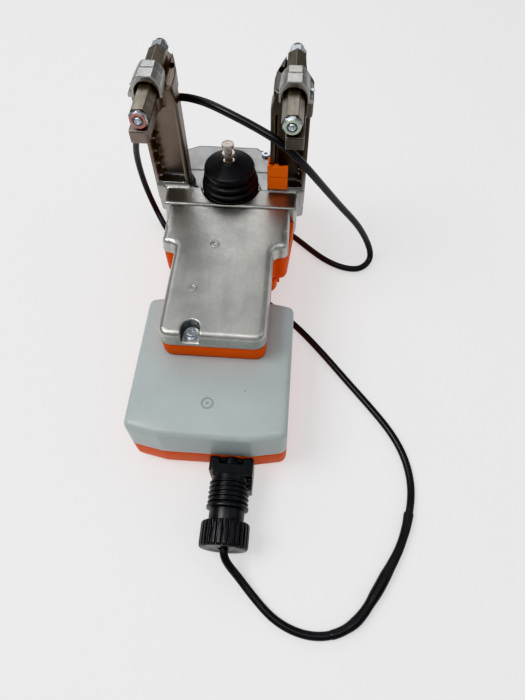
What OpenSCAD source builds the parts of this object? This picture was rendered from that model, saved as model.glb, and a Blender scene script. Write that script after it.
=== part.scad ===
// Linear valve actuator with cast yoke, motor box and lead.
// Origin: stem axis at the level of the resting surface. +Z along the stem, +Y away from the gland.

/* [Box] */
// Half width of the motor box
box_hw = 49.75; // [47:0.25:52]
// Height of the seam between the two box shells
box_seam_z = 22.4; // [21:0.1:24]
// Height of the box top
box_top_z = 50.1; // [50:0.1:50.5]
// Wall thickness of the moulded shells
shell_wall = 2.6; // [2:0.1:3]
// Corner radius of the box
box_r = 4; // [2:0.5:5]

/* [Casting] */
// Half width of the narrow part of the gear cover
cover_hw = 33.55; // [32:0.25:34]
// Half width of the wide part of the gear cover
wide_hw = 43.1; // [42:0.1:44]
// Height of the seam under the casting
cast_seam_z = 63; // [62.8:0.1:63.2]
// Height of the casting's top face
cast_top_z = 74.7; // [74.5:0.1:75.5]
// Half distance from arm to arm, inside
arm_in = 28.6; // [28.4:0.1:29]
// Half distance from arm to arm, outside
arm_out = 53.6; // [53:0.1:54]
// Height of the top of the arm heads
head_top_z = 150; // [149:0.5:150]

/* [Clamp] */
// Half distance between the two clamp studs
stud_x = 43; // [42.5:0.1:43.5]
// Height of the clamp studs
stud_z = 153; // [152.8:0.1:153.2]
// Radius of the clamp studs
stud_r = 3; // [2.5:0.1:3]
// Width across flats of the hex sleeves
sleeve_af = 11; // [10:0.1:11]
// Width across flats of the stud nuts
nut_af = 10; // [8:0.5:10]

/* [Stem] */
// Radius of the spindle
stem_r = 4; // [3.5:0.1:4]
// Radius of the spindle's head
stem_head_r = 4.2; // [3.8:0.05:4.3]
// Height of the spindle's tip at rest
stem_tip_z = 108.3; // [108:0.1:109]
// Radius of the bellows at its base folds
bellows_r = 20.25; // [19:0.25:20.25]

/* [Gears] */
// Gear module
gear_m = 1; // [0.9:0.01:1]
// Gear thickness
gear_t = 5; // [3:0.5:5]
// Tooth thickness at the pitch circle, in modules
tooth_w = 1.2; // [1:0.05:1.3]

/* [Gland] */
// Position of the gland axis, across
gland_x = 17.2; // [16:0.1:18]
// Height of the gland axis
gland_z = 15.5; // [15.2:0.1:15.6]
// Outer radius of the gland nut
gland_nut_r = 14.75; // [13.5:0.25:14.75]
// Number of grip ribs on the gland nut
gland_ribs = 26; // [16:1:30]

/* [Lead] */
// Radius of the lead
lead_r = 2.4; // [2:0.1:2.5]
// Radius of the shrink sleeve over the splice
splice_r = 3.7; // [3:0.1:3.8]

/* [Hidden] */
$fn = 48;
cx = 1.5;
e = 0.01;
floor_z = 39.5;
sump_z = 28;
skirt_z = 50;
gear_z = 53.6;
motor_y = -102;
idler1_y = -47;
idler2_y = -81;
sleeve_rc = sleeve_af / 2 / cos(30);
nut_rc = nut_af / 2 / cos(30);

function unit(v) = v / norm(v);
// outline with every corner rounded by r
function fillet(P, r, n = 4) = [for (i = [0 : len(P) - 1])
    let (p = P[i], a = P[(i + len(P) - 1) % len(P)], b = P[(i + 1) % len(P)],
        u = unit(a - p), w = unit(b - p), ang = acos(max(-1, min(1, u * w))),
        c = p + unit(u + w) * (r / sin(ang / 2)), s = p + u * r / tan(ang / 2), t = p + w * r / tan(ang / 2),
        a0 = atan2(s[1] - c[1], s[0] - c[0]), a1 = atan2(t[1] - c[1], t[0] - c[0]),
        d = ((a1 - a0 + 540) % 360) - 180)
    for (k = [0 : n]) c + r * [cos(a0 + d * k / n), sin(a0 + d * k / n)]];

// outline of the motor box, drawn in by d
function box_pts(d) = [[cx - 27.6 + d / 3, -185.3 + d], [cx + 27.6 - d / 3, -185.3 + d], [cx + box_hw - d, -181 + d],
    [cx + box_hw - d, -87 - d], [cx + 27.6 - d / 3, -83 - d], [cx - 27.6 + d / 3, -83 - d],
    [cx - box_hw + d, -87 - d], [cx - box_hw + d, -181 + d]];
// outline of the gear cover, drawn in by d (the far side stays)
function cover_pts(d) = [[cx - cover_hw + d, -131.5 + d], [cx + cover_hw - d, -131.5 + d], [cx + cover_hw - d, -58.5 + d],
    [cx + wide_hw - d, -58.5 + d], [cx + wide_hw - d, -23.1], [cx - wide_hw + d, -23.1],
    [cx - wide_hw + d, -58.5 + d], [cx - cover_hw + d, -58.5 + d]];
// outline of the yoke's back plate, drawn in by d
function plate_pts(d) = [[cx - 47.3 + d, -23], [cx + 47.3 - d, -23], [cx + 47.3 - d, -6], [arm_out - d, -5],
    [arm_out - d, 10], [45 - d, 44 - d], [25 - d / 2, 51.3 - d], [17.6, 51.8 - d], [15.6, 54.6 - d], [-31, 54.6 - d], [-40.7 + d / 2, 49.5 - d],
    [-arm_out + d, 10], [-arm_out + d, -5], [cx - 47.3 + d, -6]];
// outline of the whole orange housing, drawn in by d
function housing_pts(d) = [[cx - cover_hw + d, -131.5 + d], [cx + cover_hw - d, -131.5 + d], [cx + cover_hw - d, -58.5 + d],
    [cx + wide_hw - d, -58.5 + d], [cx + 46.5 - d, -23], [cx + 46.5 - d, -6], [50 - d, 8], [43 - d, 42 - d],
    [15, 52 - d], [-30, 52.5 - d], [-39 + d / 2, 47.5 - d], [-50 + d, 8], [cx - 46.5 + d, -6], [cx - 46.5 + d, -23],
    [cx - wide_hw + d, -58.5 + d], [cx - cover_hw + d, -58.5 + d]];

module slab(P, z0, z1) { translate([0, 0, z0]) linear_extrude(z1 - z0) polygon(P); }
module yrod(x, z, y0, y1, r, n = 48) { translate([x, y1, z]) rotate([90, 0, 0]) cylinder(h = y1 - y0, r = r, $fn = n); }
module pillars(P, z0, z1, r) { for (p = P) translate([p[0], p[1], z0]) cylinder(h = z1 - z0, r = r, $fn = 32); }
module pan_screw(p, z, r, hr, hh, l) {
    translate([p[0], p[1], z]) { cylinder(h = hh, r = hr, $fn = 32); translate([0, 0, -l]) cylinder(h = l + e, r = r, $fn = 24); }
}

case_pts = [[cx - 43, -175], [cx + 43, -175], [cx - 43, -94], [cx + 43, -94]];
board_pts = [[cx - 36, -170], [cx + 36, -170], [cx - 36, -124], [cx + 36, -124]];
house_pts = [[cx - 22, -116], [cx + 22, -116]];

// ---------------------------------------------------------------- motor box
module case_lower() color("orangered") difference() {
    union() {
        difference() {
            union() {
                slab(fillet(box_pts(4.5), box_r), 0, 1.2);
                slab(fillet(box_pts(2.2), box_r), 1.2, 3);
                slab(fillet(box_pts(0.8), box_r), 3, 5.5);
                slab(fillet(box_pts(0), box_r), 5.5, box_seam_z);
            }
            slab(fillet(box_pts(5.5), 2), 2.6, 4.8);
            slab(fillet(box_pts(shell_wall), 2), 4.8, box_seam_z + 1);
        }
        pillars(case_pts, 2, box_seam_z, 4);
        pillars(board_pts, 2, 30, 3.2);
    }
    // seal groove
    difference() { slab(fillet(box_pts(0.9), 3), box_seam_z - 0.8, box_seam_z + 1); slab(fillet(box_pts(1.9), 2.4), box_seam_z - 1, box_seam_z + 2); }
    pillars(case_pts, -1, 60, 1.6);
    pillars(case_pts, -1, 2.2, 2.9);
    pillars(board_pts, 22, 31, 1.2);
    yrod(gland_x, gland_z, -200, -178, 6.05);
}
module case_upper() color("lightsteelblue") difference() {
    union() {
        difference() {
            union() {
                slab(fillet(box_pts(0), box_r), box_seam_z, box_top_z - 2.4);
                slab(fillet(box_pts(0.7), box_r), box_top_z - 2.4, box_top_z - 0.9);
                slab(fillet(box_pts(2.2), box_r), box_top_z - 0.9, box_top_z);
            }
            slab(fillet(box_pts(shell_wall), 2), box_seam_z - 1, box_top_z - shell_wall);
        }
        pillars(case_pts, box_seam_z, box_top_z - 1, 4);
        // raised moulding ring on the top
        translate([1.3, -162.7, box_top_z - 0.5]) difference() { cylinder(h = 0.8, r = 4, $fn = 48); cylinder(h = 2, r = 3.2, $fn = 48); }
    }
    difference() { slab(fillet(box_pts(0.9), 3), box_seam_z - 1, box_seam_z + 0.8); slab(fillet(box_pts(1.9), 2.4), box_seam_z - 2, box_seam_z + 1); }
    pillars(case_pts, box_seam_z - 1, 40, 1.5);
    translate([0, motor_y, 40]) cylinder(h = 20, r = 5, $fn = 32);
    pillars(house_pts, 40, 60, 1.7);
}
module case_seal() color("dimgray") difference() {
    slab(fillet(box_pts(0.95), 3), box_seam_z - 0.8, box_seam_z + 0.8);
    slab(fillet(box_pts(1.85), 2.4), box_seam_z - 1, box_seam_z + 1);
}
module case_screws() color("silver") for (p = case_pts) translate([p[0], p[1], 0.3]) {
    difference() { cylinder(h = 1.9, r = 2.8, $fn = 32); translate([0, 0, -1]) cylinder(h = 1.9, r = 1.3, $fn = 6); }
    translate([0, 0, 1]) cylinder(h = 28, r = 1.45, $fn = 24);
}

// ---------------------------------------------------------------- gearbox
module mid_housing() color("orangered") difference() {
    union() {
        difference() {
            union() {
                slab(fillet(housing_pts(0.5), 4), box_top_z, cast_seam_z);
                intersection() {
                    slab(fillet(housing_pts(0.5), 4), floor_z, box_top_z + 1);
                    translate([-60, -82.5, floor_z - 1]) cube([120, 140, 20]);
                }
                slab(fillet([[cx - 37, -62], [cx + 36, -62], [cx + 36, 34], [cx - 37, 34]], 5), sump_z, floor_z + 1);
            }
            slab(fillet(housing_pts(0.5 + shell_wall), 2.5), box_top_z + 2.5, cast_seam_z + 1);
            translate([-70, -23.05, skirt_z]) cube([140, 90, 20]);
            intersection() {
                slab(fillet(housing_pts(0.5 + shell_wall), 2.5), floor_z + 2.5, box_top_z + 5);
                translate([-60, -79.9, floor_z - 1]) cube([120, 140, 20]);
            }
            slab(fillet([[cx - 34, -59], [cx + 33, -59], [cx + 33, 31], [cx - 34, 31]], 3), sump_z + 2.5, floor_z + 5);
        }
        // boss under the spindle gear, pillars of the idler axles and screw bosses
        translate([0, 0, sump_z]) cylinder(h = 14, r = 16, $fn = 48);
        pillars([[0, idler1_y]], sump_z, gear_z - 0.4, 4);
        pillars([[0, idler2_y]], box_top_z + 0.4, gear_z - 0.4, 4);
        pillars([[-11.5, -124.6]], box_top_z, cast_seam_z, 4.4);
        pillars([[22.3, 45.2]], floor_z, 60, 4);
        pillars(house_pts, box_top_z, box_top_z + 6, 4);
        // ribs outside on the right flank
        for (y = [-52, -42, -32]) translate([cx + 35.2, y, sump_z + 1]) cube([2.4, 1.6, 10.4]);
    }
    translate([0, 0, sump_z - 1]) cylinder(h = 20, r = 12.2, $fn = 48);
    translate([0, motor_y, box_top_z - 1]) cylinder(h = 6, r = 5, $fn = 32);
    pillars([[0, idler1_y]], 40, 70, 1.98);
    pillars([[0, idler2_y]], box_top_z + 0.5, 70, 1.98);
    pillars([[-11.5, -124.6]], 53, 70, 1.95);
    pillars([[22.3, 45.2]], 50, 70, 1.55);
    pillars(house_pts, box_top_z - 1, box_top_z + 5, 1.5);
    pillars(house_pts, box_top_z - 1, box_top_z + 5, 1.5);
}
module housing_screws() color("silver") for (p = house_pts) translate([p[0], p[1], box_top_z - shell_wall - 2])
    { cylinder(h = 2, r = 2.9, $fn = 32); cylinder(h = 9, r = 1.45, $fn = 24); }
module cover_seal() color("dimgray") difference() {
    slab(fillet(cover_pts(1.4), 3), cast_seam_z, cast_seam_z + 0.5);
    slab(fillet([[cx - cover_hw + 2.4, -129.1], [cx + cover_hw - 2.4, -129.1], [cx + cover_hw - 2.4, -56.1],
        [cx + wide_hw - 2.4, -56.1], [cx + wide_hw - 2.4, -20], [cx - wide_hw + 2.4, -20], [cx - wide_hw + 2.4, -56.1],
        [cx - cover_hw + 2.4, -56.1]], 2), cast_seam_z - 1, cast_seam_z + 1);
    translate([-60, -25, 60]) cube([120, 10, 6]);
}
module gear_cover() color("silver") difference() {
    union() {
        difference() {
            union() {
                slab(fillet(cover_pts(0), 3), cast_seam_z, cast_top_z - 3.2);
                slab(fillet(cover_pts(0.9), 4), cast_top_z - 3.2, cast_top_z - 1.2);
                slab(fillet(cover_pts(2.2), 4), cast_top_z - 1.2, cast_top_z);
            }
            slab(fillet([[cx - cover_hw + 3.2, -128.3], [cx + cover_hw - 3.2, -128.3], [cx + cover_hw - 3.2, -55.3],
                [cx + wide_hw - 3.2, -55.3], [cx + wide_hw - 3.2, -26.1], [cx - wide_hw + 3.2, -26.1],
                [cx - wide_hw + 3.2, -55.3], [cx - cover_hw + 3.2, -55.3]], 3), cast_seam_z - 1, cast_top_z - 3.5);
        }
        // block of metal round the screw pocket
        translate([-19.5, -130, cast_seam_z]) cube([16, 16, 9]);
        // bosses that hold the axle tops
        pillars([[0, idler1_y], [0, idler2_y]], cast_seam_z - 3, cast_top_z - 1, 4);
    }
    // pocket, open to the near side
    translate([-17.5, -135, 66]) cube([12, 11, 12]);
    translate([-11.5, -124, 66]) cylinder(h = 12, r = 6, $fn = 48);
    pillars([[-11.5, -124.6]], 60, 70, 2.2);
    pillars([[0, idler1_y], [0, idler2_y]], cast_seam_z - 4, 68, 2.02);
    difference() { slab(fillet(cover_pts(1.3), 3), cast_seam_z - 1, cast_seam_z + 0.5); slab(fillet([[cx - cover_hw + 2.5, -129],
        [cx + cover_hw - 2.5, -129], [cx + cover_hw - 2.5, -56], [cx + wide_hw - 2.5, -56], [cx + wide_hw - 2.5, -20],
        [cx - wide_hw + 2.5, -20], [cx - wide_hw + 2.5, -56], [cx - cover_hw + 2.5, -56]], 2), cast_seam_z - 2, cast_seam_z + 1); }
}
module cover_screw() color("silver") difference() {
    union() {
        translate([-11.5, -124.6, 66]) cylinder(h = 1.1, r = 4.2, $fn = 40);
        translate([-11.5, -124.6, 67]) cylinder(h = 2.6, r = 2.95, $fn = 40);
        translate([-11.5, -124.6, 54]) cylinder(h = 12.5, r = 1.93, $fn = 24);
    }
    translate([-11.5, -124.6, 68.2]) cylinder(h = 3, r = 1.6, $fn = 6);
}

// plan outline of the right arm's head
ear = [[38.5, -11], [54.5, -11], [54.5, 8], [52, 14], [50, 19], [48.8, 38], [45, 44.7], [37.9, 36.4], [35.9, 32.4],
    [34.3, 27.5], [32.7, 22], [31.2, 16.8], [30.3, 9], [30.3, -3], [36, -3]];
module arm(led) difference() {
    union() {
        // upright
        translate([0, 7, 0]) rotate([90, 0, 0]) linear_extrude(12)
            polygon([[arm_in, cast_seam_z - 2], [arm_out, cast_seam_z - 2], [arm_out, head_top_z], [32, head_top_z], [arm_in, 138]]);
        // head pad, tongue and foot fillets
        translate([0, 0, 137.6]) linear_extrude(head_top_z - 137.6) polygon(fillet(ear, 1.2, 3));
        translate([39, -41, 137.6]) cube([11.5, 38, 8.8]);
        translate([0, 7, 0]) rotate([90, 0, 0]) linear_extrude(12) polygon([[arm_in - 4, 62], [arm_in + 1, 62], [arm_in + 1, 75.5], [arm_in, 75.5]]);
    }
    // channel of the upright, open to the front
    translate([arm_in + 3.6, -8, 77.5]) cube([arm_out - arm_in - 7.2, 11.4, 56.5]);
    // trough of the studs
    translate([stud_x - 6.7, -50, 146.4]) cube([13.4, 100, 20]);
    // oval hole in the rear of the head
    translate([34.4, 17, 130]) cylinder(h = 30, r = 1.6, $fn = 24);
}
module ledges() for (z = [82.6, 93, 103, 113]) translate([arm_out - 6.4, -4, z - 1.1]) cube([3.2, 8, 2.2]);
module yoke_casting() color("silver") difference() {
    union() {
        // back plate and band
        difference() {
            slab(fillet(plate_pts(0), 2), skirt_z + 0.05, cast_seam_z);
            slab(fillet([[cx - 44.3, -30], [cx + 44.3, -30], [cx + 44.3, -3], [arm_out - 3, -2], [arm_out - 3, 9], [42, 41],
                [24, 49], [15, 50.5], [-29.5, 51], [-38.5, 46.8], [-arm_out + 3, 9], [-arm_out + 3, -2], [cx - 44.3, -3]], 1.5), skirt_z - 1, 60);
        }
        slab(fillet([[cx - 47.3, -22.9], [cx + 47.3, -22.9], [cx + 47.3, -6], [cx - 47.3, -6]], 2.5), cast_seam_z - 3, cast_top_z - 0.3);
        slab(fillet([[-51, -6.5], [-29, -6.5], [-29, 9], [-51, 9]], 1.5), 60, 75.6);
        slab(fillet([[51, -6.5], [51, 9], [29, 9], [29, -6.5]], 1.5), 60, 75.6);
        translate([0, 0, 60]) cylinder(h = 9, r = 21.5, $fn = 64);
        // ribs on the back plate
        translate([-33, 24.6, 62]) cube([54, 1.2, 1.6]);
        translate([-31, 40.5, 62]) cube([48, 1.4, 1.6]);
        arm(false);
        mirror([1, 0, 0]) arm(true);
        mirror([1, 0, 0]) ledges();
        ledges();
    }
    // seat of the bellows and bore of the bush
    translate([0, 0, 69]) cylinder(h = 20, r = 21.3, $fn = 64);
    translate([0, 0, 50]) cylinder(h = 30, r = 7, $fn = 48);
    pillars([[22.3, 45.2]], 50, 70, 1.7);
}
module plate_screw() color("silver") for (p = [[22.3, 45.2]]) difference() {
    pan_screw(p, cast_seam_z, 1.5, 3.2, 2, 11);
    translate([p[0], p[1], cast_seam_z + 1]) cylinder(h = 3, r = 1.4, $fn = 6);
}

// ---------------------------------------------------------------- clamp
module saddle() difference() {
    translate([0, 1.8, 0]) rotate([90, 0, 0]) linear_extrude(17.4) polygon([
        [stud_x - 9, head_top_z], [stud_x - 9, 157.6], [stud_x - 4.25, 163.4], [stud_x + 4.25, 163.4], [stud_x + 9, 157.6],
        [stud_x + 9, 152.6], [stud_x + 11.7, 152.4], [stud_x + 11.7, head_top_z]]);
    yrod(stud_x, stud_z, -30, 20, 7);
    translate([stud_x - 7, -30, 140]) cube([14, 50, stud_z - 140]);
    translate([stud_x + 10.4, -7, 140]) cylinder(h = 13, r = 0.9, $fn = 24);
}
module saddle_left() color("silver") mirror([1, 0, 0]) saddle();
module saddle_right() color("silver") saddle();
module saddle_screws() color("silver") for (s = [-1, 1]) translate([s * (stud_x + 10.4), -7, 150.1]) {
    cylinder(h = 2.6, r = 0.85, $fn = 24);
    translate([0, 0, 2.55]) cylinder(h = 1.2, r = 1.3, $fn = 24);
}
module clamp_studs() color("silver") for (s = [-1, 1]) yrod(s * stud_x, stud_z, -41.9, 33.4, stud_r, 32);
module hexrod(x, y0, y1, rc, turn, bore) translate([x, y1, stud_z]) rotate([90, 0, 0]) difference() {
    rotate([0, 0, turn]) cylinder(h = y1 - y0, r = rc, $fn = 6);
    translate([0, 0, -1]) cylinder(h = y1 - y0 + 2, r = bore, $fn = 32);
}
module front_sleeves() color("dimgray") for (s = [-1, 1]) hexrod(s * stud_x, -37.7, -6, sleeve_rc, 0, stud_r + 0.05);
module rear_sleeves() color("dimgray") for (s = [-1, 1]) hexrod(s * stud_x, -5.8, 25, sleeve_rc, 30, stud_r + 0.05);
module front_nuts() color("silver") { hexrod(-stud_x, -40.9, -37.7, nut_rc, 30, stud_r + 0.03); hexrod(stud_x, -40.9, -37.7, nut_rc, 14, stud_r + 0.03); }
module rear_nuts() color("silver") for (s = [-1, 1]) difference() {
    union() { hexrod(s * stud_x, 25, 31, nut_rc, 10, 0.5); yrod(s * stud_x, stud_z, 31, 34.6, 4.2, 32); }
    yrod(s * stud_x, stud_z, 20, 33.45, stud_r + 0.03, 32);
}

// ---------------------------------------------------------------- stem
module bellows() color("black") rotate_extrude($fn = 64) polygon([
    [4.3, 95.8], [5.8, 95.6], [17.1, 90.7], [17.7, 89.8], [17.3, 86.2], [15.2, 85], [18.7, 83.2], [18.7, 81], [16, 79.8],
    [20, 78], [bellows_r, 75.6], [17.4, 74.4], [bellows_r, 73], [bellows_r, 69.1],
    [18.6, 69.1], [18.6, 73.2], [15.8, 74.4], [18.4, 76.4], [14.4, 79.8], [17, 82.2], [13.6, 85], [15.7, 87], [15.9, 89.2], [5.6, 94], [4.3, 94.4]]);
module spindle() color("silver") union() {
    translate([0, 0, 8]) cylinder(h = 87.3, r = stem_r, $fn = 48);
    translate([0, 0, 95]) cylinder(h = 4.4, r = 2.8, $fn = 48);
    translate([0, 0, 99]) cylinder(h = 2.5, r = 4.4, $fn = 48);
    translate([0, 0, 101]) cylinder(h = 5, r = 2.6, $fn = 48);
    translate([0, 0, 105.6]) cylinder(h = 0.7, r1 = 3.2, r2 = stem_head_r, $fn = 48);
    translate([0, 0, 106.3]) cylinder(h = stem_tip_z - 106.7, r = stem_head_r, $fn = 48);
    translate([0, 0, stem_tip_z - 0.4]) cylinder(h = 0.4, r1 = stem_head_r, r2 = stem_head_r - 0.4, $fn = 48);
}
module spindle_bush() color("goldenrod") translate([0, 0, 60.2]) difference() {
    cylinder(h = 8.6, r = 6.99, $fn = 48);
    translate([0, 0, -1]) cylinder(h = 12, r = stem_r + 0.05, $fn = 48);
}
module spindle_cover() color("orangered") difference() {
    union() {
        translate([0, 0, 0]) cylinder(h = sump_z, r = 20, $fn = 64);
        translate([0, 0, sump_z - 3]) cylinder(h = 3, r = 24, $fn = 64);
    }
    translate([0, 0, 2.5]) cylinder(h = 40, r = 17.4, $fn = 64);
}

// ---------------------------------------------------------------- gear train
// spur gear with n straight-flanked teeth, one tooth centred on angle a0
function gear_pts(n, a0) = [for (i = [0 : n - 1]) let (a = a0 + 360 * i / n, rp = n * gear_m / 2,
        rt = rp + 0.8 * gear_m, rr = rp - 1.1 * gear_m,
        ht = (tooth_w / 2 - 0.29) * gear_m / rt * 180 / PI, hr = (tooth_w / 2 + 0.38) * gear_m / rr * 180 / PI)
    each [rr * [cos(a - hr), sin(a - hr)], rt * [cos(a - ht), sin(a - ht)], rt * [cos(a + ht), sin(a + ht)], rr * [cos(a + hr), sin(a + hr)]]];
module gear(n, a0, bore, holes, hr, hd) difference() {
    linear_extrude(gear_t) polygon(gear_pts(n, a0));
    translate([0, 0, -1]) cylinder(h = gear_t + 2, r = bore, $fn = 48);
    if (holes > 0) for (i = [0 : holes - 1]) rotate([0, 0, i * 360 / holes + 20]) translate([hd, 0, -1]) cylinder(h = gear_t + 2, r = hr, $fn = 32);
}
module drive_gear() color("ivory") difference() {
    union() {
        translate([0, 0, gear_z]) gear(54, -90, 5, 5, 4.4, 17);
        translate([0, 0, 46.2]) cylinder(h = 13.2, r = 9, $fn = 48);
    }
    translate([0, 0, 40]) cylinder(h = 30, r = stem_r + 0.05, $fn = 48);
}
module gear_bearing() color("silver") translate([0, 0, 42.2]) difference() {
    cylinder(h = 3.9, r = 12.1, $fn = 48);
    translate([0, 0, -1]) cylinder(h = 6, r = stem_r + 0.4, $fn = 48);
}
module idler_gear_large() color("ivory") translate([0, idler1_y, gear_z]) { gear(40, 90 + 4.5, 2.05, 4, 3.4, 11.5);
    translate([0, 0, gear_t - 0.01]) difference() { cylinder(h = 0.9, r = 4, $fn = 32); translate([0, 0, -1]) cylinder(h = 3, r = 2.05, $fn = 48); } }
module idler_gear_small() color("ivory") translate([0, idler2_y, gear_z]) { gear(28, 90, 2.05, 4, 2.2, 8);
    translate([0, 0, gear_t - 0.01]) difference() { cylinder(h = 0.9, r = 4, $fn = 32); translate([0, 0, -1]) cylinder(h = 3, r = 2.05, $fn = 48); } }
module idler_axles() color("silver") { translate([0, idler1_y, 40.2]) cylinder(h = 27.6, r = 1.97, $fn = 48);
    translate([0, idler2_y, box_top_z + 0.6]) cylinder(h = 17.1, r = 1.97, $fn = 48); }
module motor_pinion() color("goldenrod") translate([0, motor_y, 0]) {
    translate([0, 0, gear_z]) linear_extrude(gear_t) polygon(gear_pts(14, 90 + 180 / 14));
    translate([0, 0, 15]) cylinder(h = gear_z - 14.9, r = 1.5, $fn = 32);
}
module motor() color("gray") translate([0, motor_y, 0]) difference() {
    union() { translate([0, 0, 12]) cylinder(h = 33.5, r = 14, $fn = 64); translate([0, 0, 45.4]) cylinder(h = 2, r = 4.5, $fn = 32); translate([0, 0, 9]) cylinder(h = 3.1, r = 5, $fn = 32);
        translate([-19, -5, 44.5]) cube([38, 10, 1]); }
    translate([0, 0, 14]) cylinder(h = 60, r = 1.55, $fn = 32);
    for (s = [-1, 1]) translate([s * 16.5, 0, 40]) cylinder(h = 9, r = 1.4, $fn = 24);
}
module motor_screws() color("silver") for (s = [-1, 1]) translate([s * 16.5, motor_y, 42.4]) { cylinder(h = 2.1, r = 2.4, $fn = 32); cylinder(h = 5.1, r = 1.3, $fn = 24); }

// ---------------------------------------------------------------- electronics
module circuit_board() color("darkgreen") difference() {
    translate([cx - 41, -175, 30]) cube([82, 56, 1.6]);
    pillars(board_pts, 25, 35, 1.3);
    pillars(case_pts, 20, 35, 4.6);
}
module board_screws() color("silver") for (p = board_pts) pan_screw(p, 31.6, 1.15, 2.4, 1.6, 8);
module terminal_block() color("green") difference() {
    translate([5, -172, 31.6]) cube([25, 9, 10]);
    for (i = [0 : 4]) translate([7.5 + i * 5, -167, 38]) cylinder(h = 5, r = 1.6, $fn = 24);
    for (i = [0 : 4]) translate([6 + i * 5, -173, 33]) cube([3, 4, 4]);
}
module board_parts() color("dimgray") {
    translate([-27, -158, 31.6]) cylinder(h = 12, r = 5, $fn = 32);
    translate([-20, -168, 31.6]) cube([16, 10, 9]);
    translate([-14, -148, 31.6]) cube([12, 12, 1.8]);
    translate([10, -150, 31.6]) cube([18, 14, 6]);
    for (i = [0 : 3]) translate([-30 + i * 7, -132, 31.6]) cylinder(h = 4, r = 2, $fn = 24);
}

// ---------------------------------------------------------------- stroke clips
module clip(z0, z1) {
    translate([27, -7.7, z0]) cube([14, 2.3, z1 - z0]);
    translate([27, -7.7, z0]) cube([1.2, 9.9, z1 - z0]);
    translate([27, -7.7, z0]) cube([1.2, 16.4, 2.6]);
    translate([27, 7.3, z0]) cube([9, 1.4, 2.6]);
}
module clip_lower() color("orangered") clip(77.9, 87.9);
module clip_upper() color("orangered") { clip(88.6, 97.4); translate([31.8, -7.2, 97]) cube([2.8, 1.6, 1.4]); }

// ---------------------------------------------------------------- gland
module gland_bracket() color("black") difference() {
    union() {
        translate([gland_x - 14, -197.5, 1]) cube([28, 12, 21]);
        translate([gland_x + 10.6, -205, 5]) cube([3.4, 8, 13]);
    }
    yrod(gland_x, gland_z, -199, -180, 6.05);
    yrod(gland_x, gland_z, -206, -197.55, 13);
    translate([gland_x - 9, -190.2, 20.6]) cube([5.5, 2.6, 5]);
    translate([gland_x + 3.5, -190.2, 20.6]) cube([5.5, 2.6, 5]);
}
module gland_body() color("black") difference() {
    union() {
        yrod(gland_x, gland_z, -224.8, -197.6, 10.7);
        yrod(gland_x, gland_z, -198, -180.6, 6);
        yrod(gland_x, gland_z, -182.6, -180.5, 7.5);
        yrod(gland_x, gland_z, -234, -224.7, 9.5);
        yrod(gland_x, gland_z, -217.3, -197.6, 11.5);
        for (i = [0 : 4]) yrod(gland_x, gland_z, -202.2 - i * 2.9, -200.8 - i * 2.9, 12.6);
        yrod(gland_x, gland_z, -217.3, -215.2, 12.9);
    }
    yrod(gland_x, gland_z, -240, -202, 6);
    yrod(gland_x, gland_z, -203, -170, 3.2);
}
module gland_seal() color("dimgray") difference() {
    yrod(gland_x, gland_z, -234, -226, 5.98);
    yrod(gland_x, gland_z, -240, -220, lead_r);
}
// grip outline of the gland nut
function grip(n, r, d) = [for (i = [0 : n - 1]) let (a = 360 * i / n, s = 360 / n)
    each [r * [cos(a - 0.3 * s), sin(a - 0.3 * s)], r * [cos(a + 0.15 * s), sin(a + 0.15 * s)], (r - d) * [cos(a + 0.3 * s), sin(a + 0.3 * s)], (r - d) * [cos(a + 0.55 * s), sin(a + 0.55 * s)]]];
module gland_nut() color("black") translate([gland_x, -225, gland_z]) rotate([90, 0, 0]) difference() {
    union() {
        translate([0, 0, 1]) linear_extrude(12.4) polygon(grip(gland_ribs, gland_nut_r, 1.1));
        cylinder(h = 1.1, r = gland_nut_r - 1.4, $fn = 64);
        translate([0, 0, 13.3]) cylinder(h = 1.7, r = gland_nut_r - 1.4, $fn = 64);
    }
    translate([0, 0, -1]) cylinder(h = 10.4, r = 9.57, $fn = 64);
    translate([0, 0, -1]) cylinder(h = 20, r = 3.3, $fn = 48);
}

// ---------------------------------------------------------------- lead
route = [[17.2, -226, 15.5], [17.2, -240, 15.4], [20, -246.5, 11.5], [27, -253, 5.5], [37, -263, 2.6], [50, -274, 2.5], [66, -280, 2.6],
    [82, -279.5, 3.4], [96, -272, 3.8], [106, -259, 3.8], [115, -244, 3.8], [124, -228, 3.8], [130.5, -208, 3.6], [133, -190, 2.5],
    [130, -172, 2.5], [122, -155, 2.5], [109, -137.5, 2.5], [92, -117, 2.5], [74, -95, 2.5], [55, -74, 2.5], [30, -52, 2.5],
    [0, -34, 2.5], [-32, -14, 2.5], [-56, 11, 2.5], [-70, 32, 5], [-79, 42, 26], [-79.5, 39.5, 56], [-73, 30, 85], [-58, 20, 112],
    [-43, 14, 127], [-31, 10.8, 133.7], [-14, -1.5, 139.9], [1.5, -12, 141], [22.5, -22, 137.3], [37.5, -30.5, 133.8],
    [50.5, -29.5, 119.5], [65, -21, 94.5], [81, -10.5, 66], [97, -3, 40.5], [109, 1, 15], [111.5, -4, 4.2], [103, -13, 2.5], [89, -12.5, 2.5],
    [74, -5, 2.5], [60, 7, 2.5], [47, 19, 2.5], [34, 29, 2.5]];
function cr(P, i, t) = let (n = len(P) - 1, a = P[max(i - 1, 0)], b = P[i], c = P[min(i + 1, n)], d = P[min(i + 2, n)])
    0.5 * ((2 * b) + (c - a) * t + (2 * a - 5 * b + 4 * c - d) * t * t + (3 * b - a - 3 * c + d) * t * t * t);
function dense(P, i0, i1, s) = [for (i = [i0 : i1 - 1]) for (k = [0 : s - 1]) cr(P, i, k / s), P[i1]];
function tang(Q, i) = unit(Q[min(i + 1, len(Q) - 1)] - Q[max(i - 1, 0)]);
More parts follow.
